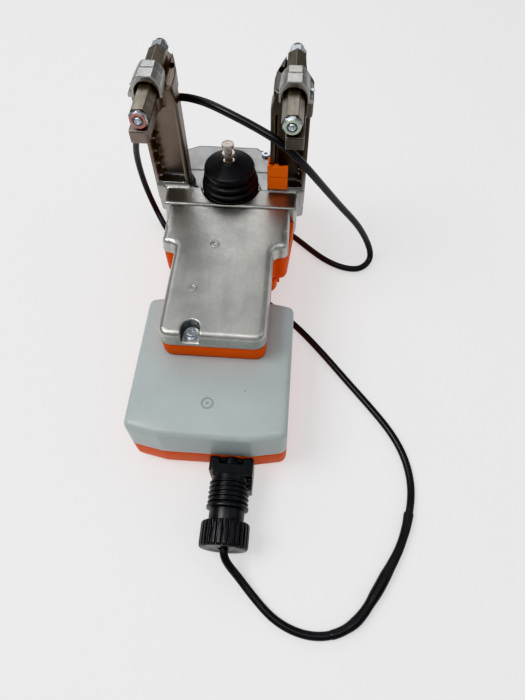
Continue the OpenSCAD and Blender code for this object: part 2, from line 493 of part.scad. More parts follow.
// carries the side vector along the curve without twist
function frames(Q, i = 0, u = [0, 0, 1]) = i >= len(Q) ? [] : let (t = tang(Q, i), v = unit(u - (u * t) * t)) concat([v], frames(Q, i + 1, v));
module sweep(Q, rs, n) {
    U = frames(Q);
    pts = [for (i = [0 : len(Q) - 1]) let (t = tang(Q, i), u = U[i], w = cross(t, u)) for (k = [0 : n - 1])
        Q[i] + rs[i] * (cos(360 * k / n) * u + sin(360 * k / n) * w)];
    fcs = concat([[for (k = [0 : n - 1]) k]], [for (i = [0 : len(Q) - 2]) for (k = [0 : n - 1])
        [i * n + k, (i + 1) * n + k, (i + 1) * n + (k + 1) % n, i * n + (k + 1) % n]],
        [[for (k = [n - 1 : -1 : 0]) (len(Q) - 1) * n + k]]);
    polyhedron(points = pts, faces = fcs, convexity = 10);
}
lead_line = concat([for (i = [0 : 4]) each [cr(route, i, 0), cr(route, i, 0.5)]], [for (i = [5 : 18]) cr(route, i, 0)],
    [for (i = [19 : 44]) each [cr(route, i, 0), cr(route, i, 0.5)]], [cr(route, 45, 0), cr(route, 46, 0)]);
module lead() color("black") sweep(lead_line, [for (q = lead_line) lead_r], 8);
splice_line = [for (i = [7 : 12]) cr(route, i, 0)];
module splice_sleeve() color("black") sweep(splice_line, [for (i = [0 : 5]) i == 0 || i == 5 ? 2.9 : (i % 2 == 0 ? splice_r : splice_r - 0.3)], 10);
module lead_wires() color("saddlebrown") for (k = [0 : 3]) translate([34, 29, 2.5]) rotate([0, 0, 142.4 + (k - 1.5) * 7])
    translate([1, (k - 1.5) * 0.75, (k % 2) * 0.4 - 0.2]) rotate([0, 90, 0]) { cylinder(h = 16, r = 0.6, $fn = 16); translate([0, 0, 15.9]) cylinder(h = 7, r = 0.75, $fn = 16); }

case_lower();
case_upper();
case_seal();
case_screws();
mid_housing();
housing_screws();
gear_cover();
cover_seal();
yoke_casting();
cover_screw();
plate_screw();
saddle_left();
saddle_right();
saddle_screws();
clamp_studs();
front_sleeves();
rear_sleeves();
front_nuts();
rear_nuts();
bellows();
spindle();
spindle_bush();
spindle_cover();
drive_gear();
gear_bearing();
idler_gear_large();
idler_gear_small();
idler_axles();
motor_pinion();
motor();
motor_screws();
circuit_board();
board_screws();
terminal_block();
board_parts();
clip_lower();
clip_upper();
gland_bracket();
gland_body();
gland_seal();
gland_nut();
lead();
splice_sleeve();
lead_wires();
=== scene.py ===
import bpy, bmesh, math, random
from mathutils import Vector, Matrix


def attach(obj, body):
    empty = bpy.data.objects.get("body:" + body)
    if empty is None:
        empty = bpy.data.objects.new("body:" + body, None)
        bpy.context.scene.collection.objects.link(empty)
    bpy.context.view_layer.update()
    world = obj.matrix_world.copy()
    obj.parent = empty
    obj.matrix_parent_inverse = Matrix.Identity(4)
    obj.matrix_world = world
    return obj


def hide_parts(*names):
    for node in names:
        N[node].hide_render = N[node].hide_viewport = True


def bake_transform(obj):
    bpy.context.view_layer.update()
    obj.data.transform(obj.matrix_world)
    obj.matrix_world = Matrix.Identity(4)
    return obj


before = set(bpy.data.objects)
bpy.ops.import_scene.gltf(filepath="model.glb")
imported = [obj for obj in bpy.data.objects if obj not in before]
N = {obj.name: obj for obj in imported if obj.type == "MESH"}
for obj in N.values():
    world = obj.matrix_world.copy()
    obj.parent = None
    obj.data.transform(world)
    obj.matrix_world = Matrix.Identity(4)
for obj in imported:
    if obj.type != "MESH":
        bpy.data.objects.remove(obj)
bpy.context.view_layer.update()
scene = bpy.context.scene
S = 0.001
random.seed(7)

# ------------------------------------------------------------------ camera
pitch, yaw, roll = math.radians(59.685), math.radians(-5.0), math.radians(-0.844)
fwd = Vector((math.sin(yaw) * math.cos(pitch), math.cos(yaw) * math.cos(pitch), -math.sin(pitch)))
rgt0 = Vector((math.cos(yaw), -math.sin(yaw), 0))
up0 = rgt0.cross(fwd)
rgt = rgt0 * math.cos(roll) + up0 * math.sin(roll)
upv = -rgt0 * math.sin(roll) + up0 * math.cos(roll)
cam_data = bpy.data.cameras.new("camera")
cam = bpy.data.objects.new("camera", cam_data)
scene.collection.objects.link(cam)
cam.matrix_world = Matrix(((rgt.x, upv.x, -fwd.x, 0.04680), (rgt.y, upv.y, -fwd.y, -0.29198),
                           (rgt.z, upv.z, -fwd.z, 0.33983), (0, 0, 0, 1)))
cam_data.sensor_width = 36
cam_data.lens = 523.463 * 36 / 700
cam_data.clip_start = 0.01
cam_data.clip_end = 20
scene.camera = cam


# ------------------------------------------------------------------ node helpers
class Mat:
    """Small builder for procedural materials in object space (metres)."""
    def __init__(self, name):
        self.m = bpy.data.materials.new(name)
        self.m.use_nodes = True
        self.t = self.m.node_tree
        self.b = self.t.nodes["Principled BSDF"]
        self.co = self.t.nodes.new("ShaderNodeTexCoord").outputs["Object"]
    def new(self, kind, **props):
        n = self.t.nodes.new(kind)
        for k, v in props.items():
            setattr(n, k, v)
        return n
    def link(self, a, b):
        self.t.links.new(a, b)
    def mapped(self, scale=(1, 1, 1), rot=(0, 0, 0)):
        n = self.new("ShaderNodeMapping")
        n.inputs["Scale"].default_value = scale
        n.inputs["Rotation"].default_value = rot
        self.link(self.co, n.inputs["Vector"])
        return n.outputs["Vector"]
    def noise(self, scale, detail=3.0, rough=0.55, vec=None, dist=0.0):
        n = self.new("ShaderNodeTexNoise")
        n.inputs["Scale"].default_value = scale
        n.inputs["Detail"].default_value = detail
        n.inputs["Roughness"].default_value = rough
        n.inputs["Distortion"].default_value = dist
        self.link(vec or self.co, n.inputs["Vector"])
        return n.outputs["Fac"]
    def voronoi(self, scale, vec=None, feature="F1"):
        n = self.new("ShaderNodeTexVoronoi", feature=feature)
        n.inputs["Scale"].default_value = scale
        self.link(vec or self.co, n.inputs["Vector"])
        return n.outputs["Distance"]
    def ramp(self, fac, stops, interp="LINEAR"):
        n = self.new("ShaderNodeValToRGB")
        r = n.color_ramp
        r.interpolation = interp
        while len(r.elements) < len(stops):
            r.elements.new(0.5)
        for e, (p, c) in zip(r.elements, stops):
            e.position = p
            e.color = c if len(c) == 4 else (*c, 1)
        self.link(fac, n.inputs["Fac"])
        return n.outputs["Color"]
    def range(self, fac, a, b, lo, hi):
        n = self.new("ShaderNodeMapRange")
        n.inputs["From Min"].default_value = a
        n.inputs["From Max"].default_value = b
        n.inputs["To Min"].default_value = lo
        n.inputs["To Max"].default_value = hi
        self.link(fac, n.inputs["Value"])
        return n.outputs["Result"]
    def math(self, op, a, b=None, clamp=False):
        n = self.new("ShaderNodeMath", operation=op, use_clamp=clamp)
        for i, v in enumerate((a, b)):
            if v is None:
                continue
            if isinstance(v, (int, float)):
                n.inputs[i].default_value = v
            else:
                self.link(v, n.inputs[i])
        return n.outputs[0]
    def mix(self, fac, a, b, mode="MIX"):
        n = self.new("ShaderNodeMix", data_type="RGBA", blend_type=mode)
        for sock, v in ((n.inputs[0], fac), (n.inputs[6], a), (n.inputs[7], b)):
            if isinstance(v, (int, float)):
                sock.default_value = v
            elif isinstance(v, tuple):
                sock.default_value = v if len(v) == 4 else (*v, 1)
            else:
                self.link(v, sock)
        return n.outputs[2]
    def bump(self, height, strength, distance, prev=None):
        n = self.new("ShaderNodeBump")
        n.inputs["Strength"].default_value = strength
        n.inputs["Distance"].default_value = distance
        self.link(height, n.inputs["Height"])
        if prev is not None:
            self.link(prev, n.inputs["Normal"])
        return n.outputs["Normal"]
    def set(self, color=None, rough=None, normal=None, **fixed):
        for key, v in (("Base Color", color), ("Roughness", rough), ("Normal", normal)):
            if v is None:
                continue
            if isinstance(v, (int, float)):
                self.b.inputs[key].default_value = v
            elif isinstance(v, tuple):
                self.b.inputs[key].default_value = v if len(v) == 4 else (*v, 1)
            else:
                self.link(v, self.b.inputs[key])
        for k, v in fixed.items():
            self.b.inputs[k.replace("_", " ")].default_value = v
        return self.m


def mat_cast(name, base=(0.57, 0.565, 0.535), dark=(0.42, 0.42, 0.405), rough=(0.34, 0.48), warm=0.0, arms=False):
    M = Mat(name)
    cloud = M.noise(38, 4, 0.6)
    flow = M.noise(14, 3, 0.6, vec=M.mapped((1.0, 0.35, 1.0)), dist=0.8)
    speck = M.noise(900, 2, 0.6)
    pits = M.voronoi(420)
    # painted reflection: stretched dark bluish bands stand in for reflected surroundings
    reflection_band = M.noise(60, 4, 0.65, vec=M.mapped((2.2, 0.5, 1.0), (0, 0, 0.35)), dist=0.6)
    col = M.ramp(cloud, [(0.30, dark), (0.52, base), (0.75, tuple(min(1, c * 1.12) for c in base))])
    col = M.mix(M.range(speck, 0.35, 0.7, 0.0, 0.35), col, tuple(c * 0.78 for c in base))
    col = M.mix(M.range(reflection_band, 0.45, 0.66, 0.0, 0.42), col, tuple(min(1, c * k) for c, k in zip(base, (0.70, 0.75, 0.80))))
    if warm:
        col = M.mix(M.range(flow, 0.4, 0.7, 0.0, warm), col, (0.52, 0.42, 0.33))
    if arms:
        # browner, duller skin on the arms; the right arm is painted darker than the left as painted shade
        sep = M.new("ShaderNodeSeparateXYZ")
        M.link(M.co, sep.inputs[0])
        # painted reflection: the front band (Y below -9 mm) is painted lighter than the back plate
        col = M.mix(M.range(sep.outputs["Y"], -0.009, -0.003, 0.8, 0.0), col, (0.54, 0.54, 0.515))
        up = M.range(sep.outputs["Z"], 0.068, 0.094, 0.0, 0.92)
        # painted shade: positive X picks the darker skin for the right arm
        side = M.range(sep.outputs["X"], -0.02, 0.02, 0.0, 1.0)
        arm_skin_and_shade = M.mix(side, M.mix(M.range(flow, 0.35, 0.65, 0.0, 1.0), (0.15, 0.118, 0.095), (0.25, 0.205, 0.175)),
                     M.mix(M.range(flow, 0.35, 0.65, 0.0, 1.0), (0.075, 0.063, 0.052), (0.14, 0.125, 0.11)))
        col = M.mix(up, col, arm_skin_and_shade)
    edge = M.new("ShaderNodeNewGeometry").outputs["Pointiness"]
    # painted highlight: convex edges are lightened towards a pale grey
    edge_highlight = M.range(edge, 0.53, 0.60, 0.0, 0.42)
    edge_highlight.node.clamp = True
    col = M.mix(edge_highlight, col, (0.72, 0.72, 0.70))
    # painted shade: concave creases are darkened
    crease_shade = M.range(edge, 0.38, 0.47, 0.22, 0.0)
    col = M.mix(crease_shade, col, (0.20, 0.19, 0.18))
    r = M.range(flow, 0.3, 0.7, rough[0], rough[1])
    r = M.math("ADD", r, M.range(speck, 0.3, 0.7, -0.05, 0.07))
    n1 = M.bump(M.noise(260, 3, 0.65), 0.42, 0.0003)
    n2 = M.bump(speck, 0.55, 0.00014, n1)
    n3 = M.bump(M.range(pits, 0.0, 0.25, 0.0, 1.0), 0.12, 0.0001, n2)
    return M.set(col, r, n3, Metallic=1.0)


def mat_plastic(name, base, var=0.08, rough=(0.36, 0.50), grain=1500, gstr=0.18, coat=0.0, speck=0.0, crease_shade_amount=0.15, spec=0.5):
    M = Mat(name)
    big = M.noise(22, 4, 0.6)
    mid = M.noise(130, 3, 0.6)
    fine = M.noise(grain, 2, 0.5)
    lo = tuple(c * (1 - var) for c in base)
    hi = tuple(min(1, c * (1 + var)) for c in base)
    col = M.ramp(big, [(0.32, lo), (0.68, hi)])
    if speck:
        sp = M.noise(520, 2, 0.7)
        col = M.mix(M.range(sp, 0.56, 0.72, 0.0, speck), col, tuple(min(1, c * 1.22) for c in base))
    edge = M.new("ShaderNodeNewGeometry").outputs["Pointiness"]
    # painted shade: concave creases are darkened towards 0.45 of the base colour
    crease_shade = M.range(edge, 0.40, 0.48, crease_shade_amount * 2.2, 0.0)
    col = M.mix(crease_shade, col, tuple(c * 0.45 for c in base))
    scuff = M.range(M.noise(60, 5, 0.75, vec=M.mapped((1, 2.5, 1)), dist=1.5), 0.58, 0.66, 0.0, 0.10)
    col = M.mix(scuff, col, tuple(min(1, c * 1.18 + 0.02) for c in base))
    r = M.range(mid, 0.3, 0.7, rough[0], rough[1])
    r = M.math("ADD", r, scuff)
    nrm = M.bump(fine, gstr, 0.00008)
    nrm = M.bump(mid, 0.06, 0.0003, nrm)
    return M.set(col, r, nrm, Coat_Weight=coat, Specular_IOR_Level=spec)


def mat_metal(name, base, rough=(0.2, 0.34), brush=(1, 1, 1), bscale=300, bstr=0.12, tint=None, tint_amt=0.4, spots=0.0):
    M = Mat(name)
    br = M.noise(bscale, 3, 0.6, vec=M.mapped(brush))
    cl = M.noise(90, 4, 0.6)
    col = M.ramp(cl, [(0.3, tuple(c * 0.84 for c in base)), (0.7, tuple(min(1, c * 1.08) for c in base))])
    if tint:
        col = M.mix(M.range(M.noise(160, 3, 0.6), 0.42, 0.66, 0.0, tint_amt), col, tint)
    if spots:
        col = M.mix(M.range(M.noise(700, 3, 0.7), 0.6, 0.75, 0.0, spots), col, tuple(c * 0.35 for c in base))
    r = M.range(br, 0.3, 0.7, rough[0], rough[1])
    nrm = M.bump(br, bstr, 0.00008)
    return M.set(col, r, nrm, Metallic=1.0)


def mat_rubber(name, base=(0.018, 0.018, 0.019), rough=(0.36, 0.52), sheen=0.08):
    M = Mat(name)
    big = M.noise(60, 4, 0.6)
    fine = M.noise(1600, 2, 0.6)
    dust = M.range(M.noise(30, 5, 0.7, dist=0.6), 0.55, 0.72, 0.0, 0.22)
    col = M.ramp(big, [(0.3, base), (0.7, tuple(c * 1.5 for c in base))])
    col = M.mix(dust, col, (0.075, 0.072, 0.070))
    r = M.math("ADD", M.range(big, 0.3, 0.7, rough[0], rough[1]), dust)
    nrm = M.bump(fine, 0.2, 0.00006)
    return M.set(col, r, nrm, Sheen_Weight=sheen, Specular_IOR_Level=0.5)


MT = {
    "orange": mat_plastic("orange_moulding", (0.80, 0.098, 0.006), 0.07, (0.40, 0.52), 1400, 0.2, crease_shade_amount=0.2, spec=0.25),
    "orange_clip": mat_plastic("orange_clip_moulding", (0.98, 0.15, 0.008), 0.05, (0.38, 0.5), 1400, 0.25, crease_shade_amount=0.25),
    "grey": mat_plastic("grey_moulding", (0.455, 0.51, 0.51), 0.05, (0.30, 0.42), 1300, 0.16, speck=0.28, crease_shade_amount=0.1),
    "grey_mark": mat_plastic("grey_moulded_mark", (0.31, 0.355, 0.36), 0.05, (0.34, 0.46), 1300, 0.16, crease_shade_amount=0.2),
    "cast": mat_cast("cast_aluminium_plain"),
    "cast_yoke": mat_cast("cast_aluminium_warm", (0.36, 0.37, 0.375), (0.22, 0.22, 0.22), (0.30, 0.46), warm=0.30, arms=True),
    "cast_saddle": mat_cast("cast_aluminium_saddle", (0.44, 0.44, 0.43), (0.26, 0.255, 0.25), (0.26, 0.42), warm=0.35),
    "zinc": mat_metal("zinc_plate", (0.52, 0.56, 0.60), (0.22, 0.36), bscale=500, spots=0.3),
    "nut_red": mat_metal("nut_face_red", (0.46, 0.20, 0.18), (0.3, 0.5), bscale=600, tint=(0.55, 0.45, 0.42), spots=0.5),
    "nut_green": mat_metal("nut_face_green", (0.58, 0.66, 0.52), (0.28, 0.46), bscale=600, tint=(0.66, 0.70, 0.72), spots=0.4),
    "hex": mat_metal("hex_bar_steel", (0.27, 0.245, 0.21), (0.28, 0.44), brush=(1, 0.06, 1), bscale=900, bstr=0.3, tint=(0.19, 0.16, 0.125), tint_amt=0.6, spots=0.25),
    "stem": mat_metal("turned_steel", (0.50, 0.465, 0.42), (0.30, 0.42), brush=(0.05, 0.05, 1), bscale=2600, bstr=0.2),
    "rubber": mat_rubber("bellows_rubber", (0.010, 0.010, 0.011), (0.30, 0.44)),
    "jacket": mat_rubber("lead_jacket", (0.008, 0.008, 0.009), (0.30, 0.42), 0.0),
    "seal": mat_rubber("seal_rubber", (0.02, 0.02, 0.02)),
    "black": mat_plastic("black_moulding", (0.014, 0.0145, 0.016), 0.15, (0.27, 0.38), 1500, 0.22, crease_shade_amount=0.1),
    "ferrule": mat_metal("ferrule_tin", (0.75, 0.74, 0.72), (0.2, 0.3)),
    "brass": mat_metal("sintered_bronze", (0.62, 0.43, 0.20), (0.3, 0.45), bscale=800),
    "nylon": mat_plastic("gear_nylon", (0.74, 0.70, 0.58), 0.04, (0.3, 0.42)),
    "can": mat_metal("motor_can_steel", (0.55, 0.56, 0.58), (0.25, 0.38), brush=(1, 1, 0.08), bscale=600),
    "board": mat_plastic("board_laminate", (0.02, 0.16, 0.06), 0.1, (0.2, 0.3)),
    "green": mat_plastic("terminal_green", (0.05, 0.32, 0.10), 0.05, (0.35, 0.45)),
    "dark": mat_plastic("component_dark", (0.03, 0.03, 0.033), 0.1, (0.35, 0.5)),
    "hole": mat_plastic("shadow_black", (0.006, 0.006, 0.006), 0.1, (0.6, 0.8)),
}
wire_cols = [(0.30, 0.09, 0.03), (0.01, 0.05, 0.30), (0.02, 0.02, 0.02), (0.45, 0.45, 0.46)]
for i, c in enumerate(wire_cols):
    MT["wire%d" % i] = mat_plastic("wire_insulation_%d" % i, c, 0.05, (0.35, 0.5))


# ------------------------------------------------------------------ mesh helpers (millimetres)
def add_obj(name, bm_or_mesh, mat, body="root", angle=32, parent=True):
    if isinstance(bm_or_mesh, bmesh.types.BMesh):
        me = bpy.data.meshes.new(name)
        bmesh.ops.recalc_face_normals(bm_or_mesh, faces=bm_or_mesh.faces)
        bm_or_mesh.to_mesh(me)
        bm_or_mesh.free()
    else:
        me = bm_or_mesh
    o = bpy.data.objects.new(name, me)
    scene.collection.objects.link(o)
    mats = mat if isinstance(mat, (list, tuple)) else [mat]
    if len(me.materials) == 0:
        for m in mats:
            me.materials.append(MT[m] if isinstance(m, str) else m)
    me.polygons.foreach_set("use_smooth", [True] * len(me.polygons))
    me.set_sharp_from_angle(angle=math.radians(angle))
    if body:
        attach(o, body)
    return o


def mm(v):
    return Vector((v[0] * S, v[1] * S, v[2] * S))


def fillet(P, r, n=6):
    """Rounds every corner of a closed 2D outline; r may be a list."""
    out = []
    L = len(P)
    for i in range(L):
        p, a, b = Vector(P[i]), Vector(P[i - 1]), Vector(P[(i + 1) % L])
        rr = r[i] if isinstance(r, (list, tuple)) else r
        u, w = (a - p), (b - p)
        lu, lw = u.length, w.length
        u.normalize(); w.normalize()
        ang = math.acos(max(-1, min(1, u.dot(w))))
        if rr < 1e-6 or ang > math.radians(178):
            out.append((p.x, p.y)); continue
        t = min(rr / math.tan(ang / 2), lu * 0.49, lw * 0.49)
        rr = t * math.tan(ang / 2)
        c = p + (u + w).normalized() * (rr / math.sin(ang / 2))
        s, e = p + u * t, p + w * t
        a0 = math.atan2(s.y - c.y, s.x - c.x)
        a1 = math.atan2(e.y - c.y, e.x - c.x)
        d = (a1 - a0 + 3 * math.pi) % (2 * math.pi) - math.pi
        for k in range(n + 1):
            out.append((c.x + rr * math.cos(a0 + d * k / n), c.y + rr * math.sin(a0 + d * k / n)))
    return out


def inset(P, d):
    """Moves an outline (counter-clockwise) in by d along its corner bisectors."""
    L = len(P)
    out = []
    for i in range(L):
        p, a, b = Vector(P[i]), Vector(P[i - 1]), Vector(P[(i + 1) % L])
        e1, e2 = (p - a), (b - p)
        if e1.length < 1e-9: e1 = e2
        if e2.length < 1e-9: e2 = e1
        e1.normalize(); e2.normalize()
        n1, n2 = Vector((-e1.y, e1.x)), Vector((-e2.y, e2.x))
        m = n1 + n2
        m.normalize()
        k = d / max(0.35, m.dot(n1))
        out.append((p.x + m.x * k, p.y + m.y * k))
    return out


def rings_bm(rings, cap0=True, cap1=True, closed=True):
    """Skins a list of closed rings of 3D points (mm)."""
    bm = bmesh.new()
    V = [[bm.verts.new(mm(p)) for p in r] for r in rings]
    n = len(rings[0])
    for a, b in zip(V[:-1], V[1:]):
        for i in range(n if closed else n - 1):
            j = (i + 1) % n
            try:
                bm.faces.new((a[i], a[j], b[j], b[i]))
            except ValueError:
                pass
    if cap0:
        bm.faces.new(list(reversed(V[0])))
    if cap1:
        bm.faces.new(V[-1])
    return bm


def shell(outline, levels):
    """A moulded body: the outline stacked at (z, inset) levels."""
    rings = []
    for z, d in levels:
        q = inset(outline, d) if abs(d) > 1e-9 else outline
        rings.append([(x, y, z) for x, y in q])
    return rings_bm(rings)


def round_levels(z0, z1, rb, rt, nb=5, nt=6, bot_in=0.0, top_in=0.0):
    """Levels with rounded lower (rb) and upper (rt) edges."""
    L = []
    if rb > 0:
        for k in range(nb + 1):
            a = math.pi / 2 * k / nb
            L.append((z0 + rb * (1 - math.sin(a)) if False else z0 + rb * (1 - math.cos(a)), rb * (1 - math.sin(a)) + bot_in * (1 - k / nb)))
    else:
        L.append((z0, bot_in))
    if rt > 0:
        for k in range(nt + 1):
            a = math.pi / 2 * k / nt
            L.append((z1 - rt + rt * math.sin(a), rt * (1 - math.cos(a)) + top_in * k / nt))
    else:
        L.append((z1, top_in))
    return L


def extrude_y(poly, y0, y1):
    """Prism along Y from an (x, z) outline."""
    return rings_bm([[(x, y0, z) for x, z in poly], [(x, y1, z) for x, z in poly]])


def extrude_z(poly, z0, z1):
    return rings_bm([[(x, y, z0) for x, y in poly], [(x, y, z1) for x, y in poly]])


def extrude_x(poly, x0, x1):
    """Prism along X from a (y, z) outline."""
    return rings_bm([[(x0, y, z) for y, z in poly], [(x1, y, z) for y, z in poly]])


def boxbm(x0, x1, y0, y1, z0, z1):
    return extrude_z([(x0, y0), (x1, y0), (x1, y1), (x0, y1)], z0, z1)


def lathe(profile, n=64, axis="z", at=(0, 0, 0), cap=True):
    """Revolves (r, h) pairs. axis z: up; axis y: h runs along +Y."""
    rings = []
    for r, h in profile:
        ring = []
        for k in range(n):
            a = 2 * math.pi * k / n
            x, y = r * math.cos(a), r * math.sin(a)
            if axis == "z":
                ring.append((at[0] + x, at[1] + y, at[2] + h))
            elif axis == "y":
                ring.append((at[0] + x, at[1] + h, at[2] - y))
            else:
                ring.append((at[0] + h, at[1] + x, at[2] + y))
        rings.append(ring)
    return rings_bm(rings, cap, cap)


def join_bm(*bms):
    out = bmesh.new()
    for b in bms:
        me = bpy.data.meshes.new("tmp")
        b.to_mesh(me)
        b.free()
        out.from_mesh(me)
        bpy.data.meshes.remove(me)
    return out


def moved(bm, M):
    bmesh.ops.transform(bm, matrix=M, verts=bm.verts)
    return bm


def mirror_x(bm):
    bmesh.ops.transform(bm, matrix=Matrix.Diagonal((-1, 1, 1, 1)), verts=bm.verts)
    bmesh.ops.reverse_faces(bm, faces=bm.faces)
    return bm


def clone(bm):
    return bm.copy()


def evaluated(o, name):
    dg = bpy.context.evaluated_depsgraph_get()
    dg.update()
    me = bpy.data.meshes.new_from_object(o.evaluated_get(dg), depsgraph=dg)
    me.name = name
    return me


def temp(bm, name="tmp"):
    me = bpy.data.meshes.new(name)
    bmesh.ops.recalc_face_normals(bm, faces=bm.faces)
    bm.to_mesh(me)
    bm.free()
    o = bpy.data.objects.new(name, me)
    scene.collection.objects.link(o)
    return o


def cast_piece(name, solids, cuts, mat, voxel=0.7, smooth=6, body="root", factor=0.5):
    """Union of overlapping solids by voxels, minus the cuts, then smoothed into cast fillets."""
    a = temp(join_bm(*solids), name + "_a")
    m = a.modifiers.new("r", "REMESH")
    m.mode = "VOXEL"
    m.voxel_size = voxel * S
    extra = []
    if cuts:
        c = temp(join_bm(*cuts), name + "_c")
        mc = c.modifiers.new("r", "REMESH")
        mc.mode = "VOXEL"
        mc.voxel_size = voxel * S
        b = a.modifiers.new("b", "BOOLEAN")
        b.operation = "DIFFERENCE"
        b.solver = "EXACT"
        b.object = c
        extra.append(c)
        m2 = a.modifiers.new("r2", "REMESH")
        m2.mode = "VOXEL"
        m2.voxel_size = voxel * S
    s = a.modifiers.new("s", "SMOOTH")
    s.factor = factor
    s.iterations = smooth
    bpy.context.view_layer.update()
    me = evaluated(a, name)
    for o in [a] + extra:
        d = o.data
        bpy.data.objects.remove(o)
        bpy.data.meshes.remove(d)
    me.materials.clear()
    return add_obj(name, me, mat, body, angle=80)


def soften(o, width, segs=3, angle=30, weighted=True):
    b = o.modifiers.new("bevel", "BEVEL")
    b.width = width * S
    b.segments = segs
    b.limit_method = "ANGLE"
    b.angle_limit = math.radians(angle)
    b.harden_normals = False
    b.miter_outer = "MITER_ARC"
    return o


def dress(node, mat, bevel=0.0, slot=None, segs=2):
    """A CAD node that stays: procedural material, planar faces joined and edges broken by modifiers."""
    o = N[node]
    m = MT[mat] if isinstance(mat, str) else mat
    if not o.material_slots:
        o.data.materials.append(m)
    for s_ in o.material_slots:
        s_.link = "OBJECT"
        s_.material = m
    if bevel > 0:
        d = o.modifiers.new("weld", "WELD")
        d.merge_threshold = 0.00001
        d = o.modifiers.new("planar", "DECIMATE")
        d.decimate_type = "DISSOLVE"
        d.angle_limit = math.radians(1.5)
        soften(o, bevel, segs)


# ------------------------------------------------------------------ lead (declared first)
route = [(17.2, -226, 15.5), (17.2, -240, 15.4), (20, -246.5, 11.5), (27, -253, 5.5), (37, -263, 2.6), (50, -274, 2.5), (66, -280, 2.6),
    (82, -279.5, 3.4), (96, -272, 3.8), (106, -259, 3.8), (115, -244, 3.8), (124, -228, 3.8), (130.5, -208, 3.6), (133, -190, 2.5),
    (130, -172, 2.5), (122, -155, 2.5), (109, -137.5, 2.5), (92, -117, 2.5), (74, -95, 2.5), (55, -74, 2.5), (30, -52, 2.5),
    (0, -34, 2.5), (-32, -14, 2.5), (-56, 11, 2.5), (-70, 32, 5), (-79, 42, 26), (-79.5, 39.5, 56), (-73, 30, 85), (-58, 20, 112),
    (-43, 14, 127), (-31, 10.8, 133.7), (-14, -1.5, 139.9), (1.5, -12, 141), (22.5, -22, 137.3), (37.5, -30.5, 133.8),
    (50.5, -29.5, 119.5), (65, -21, 94.5), (81, -10.5, 66), (97, -3, 40.5), (109, 1, 15), (111.5, -4, 4.2), (103, -13, 2.5), (89, -12.5, 2.5),
    (74, -5, 2.5), (60, 7, 2.5), (47, 19, 2.5), (34, 29, 2.5)]


def catmull(P, i, t):
    n = len(P) - 1
    a, b, c, d = (Vector(P[max(i - 1, 0)]), Vector(P[i]), Vector(P[min(i + 1, n)]), Vector(P[min(i + 2, n)]))
    return 0.5 * ((2 * b) + (c - a) * t + (2 * a - 5 * b + 4 * c - d) * t * t + (3 * b - a - 3 * c + d) * t ** 3)


def dense(P, i0, i1, s):
    return [catmull(P, i, k / s) for i in range(i0, i1) for k in range(s)] + [Vector(P[i1])]


def smooth_line(Q, it):
    Q = [q.copy() for q in Q]
    for _ in range(it):
        R = [q.copy() for q in Q]
        for i in range(3, len(Q) - 3):
            R[i] = Q[i] * 0.5 + (Q[i - 1] + Q[i + 1]) * 0.25
        Q = R
    return Q


def frames_along(Q):
    u = Vector((0, 0, 1))
    out = []
    for i, q in enumerate(Q):
        t = (Q[min(i + 1, len(Q) - 1)] - Q[max(i - 1, 0)]).normalized()
        v = (u - t * u.dot(t)).normalized()
        out.append((t, v, t.cross(v)))
        u = v
    return out


def tube(Q, radius, n=16, cap=True):
    """Sweeps rings along Q (mm); radius(i, angle) in mm."""
    F = frames_along(Q)
    rings = []
    for i, (q, (t, u, w)) in enumerate(zip(Q, F)):
        rings.append([tuple(q + (u * math.cos(2 * math.pi * k / n) + w * math.sin(2 * math.pi * k / n)) * radius(i, 2 * math.pi * k / n)) for k in range(n)])
    return rings_bm(rings, cap, cap)


line = smooth_line(dense(route, 0, len(route) - 1, 8), 10)
ex = min(range(len(line)), key=lambda i: abs(line[i].y + 240) + abs(line[i].x - 17.2))
vis = line[ex:]
lead = add_obj("lead_cable", tube(vis, lambda i, a: 2.4, 20), "jacket", angle=60)
lead_in = add_obj("lead_inside_gland", tube(line[:ex + 1], lambda i, a: 2.39, 20), "jacket", angle=60)
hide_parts("lead")

# shrink sleeve over the splice: wrinkled and lumpy
i0 = min(range(len(line)), key=lambda i: (line[i] - Vector(route[7])).length)
i1 = min(range(len(line)), key=lambda i: (line[i] - Vector(route[12])).length)
sl = line[i0:i1 + 1]
fine = []
for a, b in zip(sl[:-1], sl[1:]):
    for k in range(4):
        fine.append(a.lerp(b, k / 4))
fine.append(sl[-1])
rs = random.Random(11)
lumps = [(rs.random(), rs.uniform(0.025, 0.06), rs.uniform(0.1, 0.5), rs.uniform(0, 6.3)) for _ in range(14)]


def splice_radius(i, a):
    t = i / (len(fine) - 1)
    keys = ((0.0, 2.66), (0.1, 2.7), (0.22, 3.1), (0.34, 2.85), (0.44, 3.2), (0.56, 3.4), (0.66, 2.95), (0.78, 2.62), (0.92, 2.72), (1.0, 2.9))
    for (t0, r0), (t1, r1) in zip(keys[:-1], keys[1:]):
        if t0 <= t <= t1:
            u = (t - t0) / (t1 - t0)
            r = r0 + (r1 - r0) * u * u * (3 - 2 * u)
            break
    for c, w, h, ph in lumps:
        r += min(1, max(0, (t - 0.12) * 8)) * h * 0.45 * math.exp(-((t - c) / w) ** 2) * (0.5 + 0.5 * math.cos(a - ph))
    e = min(t, 1 - t)
    r -= 0.2 * math.exp(-(e / 0.006) ** 2)
    return max(2.46, min(r, 3.7))


splice = add_obj("splice_shrink_sleeve", tube(fine, splice_radius, 28), "jacket", angle=60)
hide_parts("splice_sleeve")
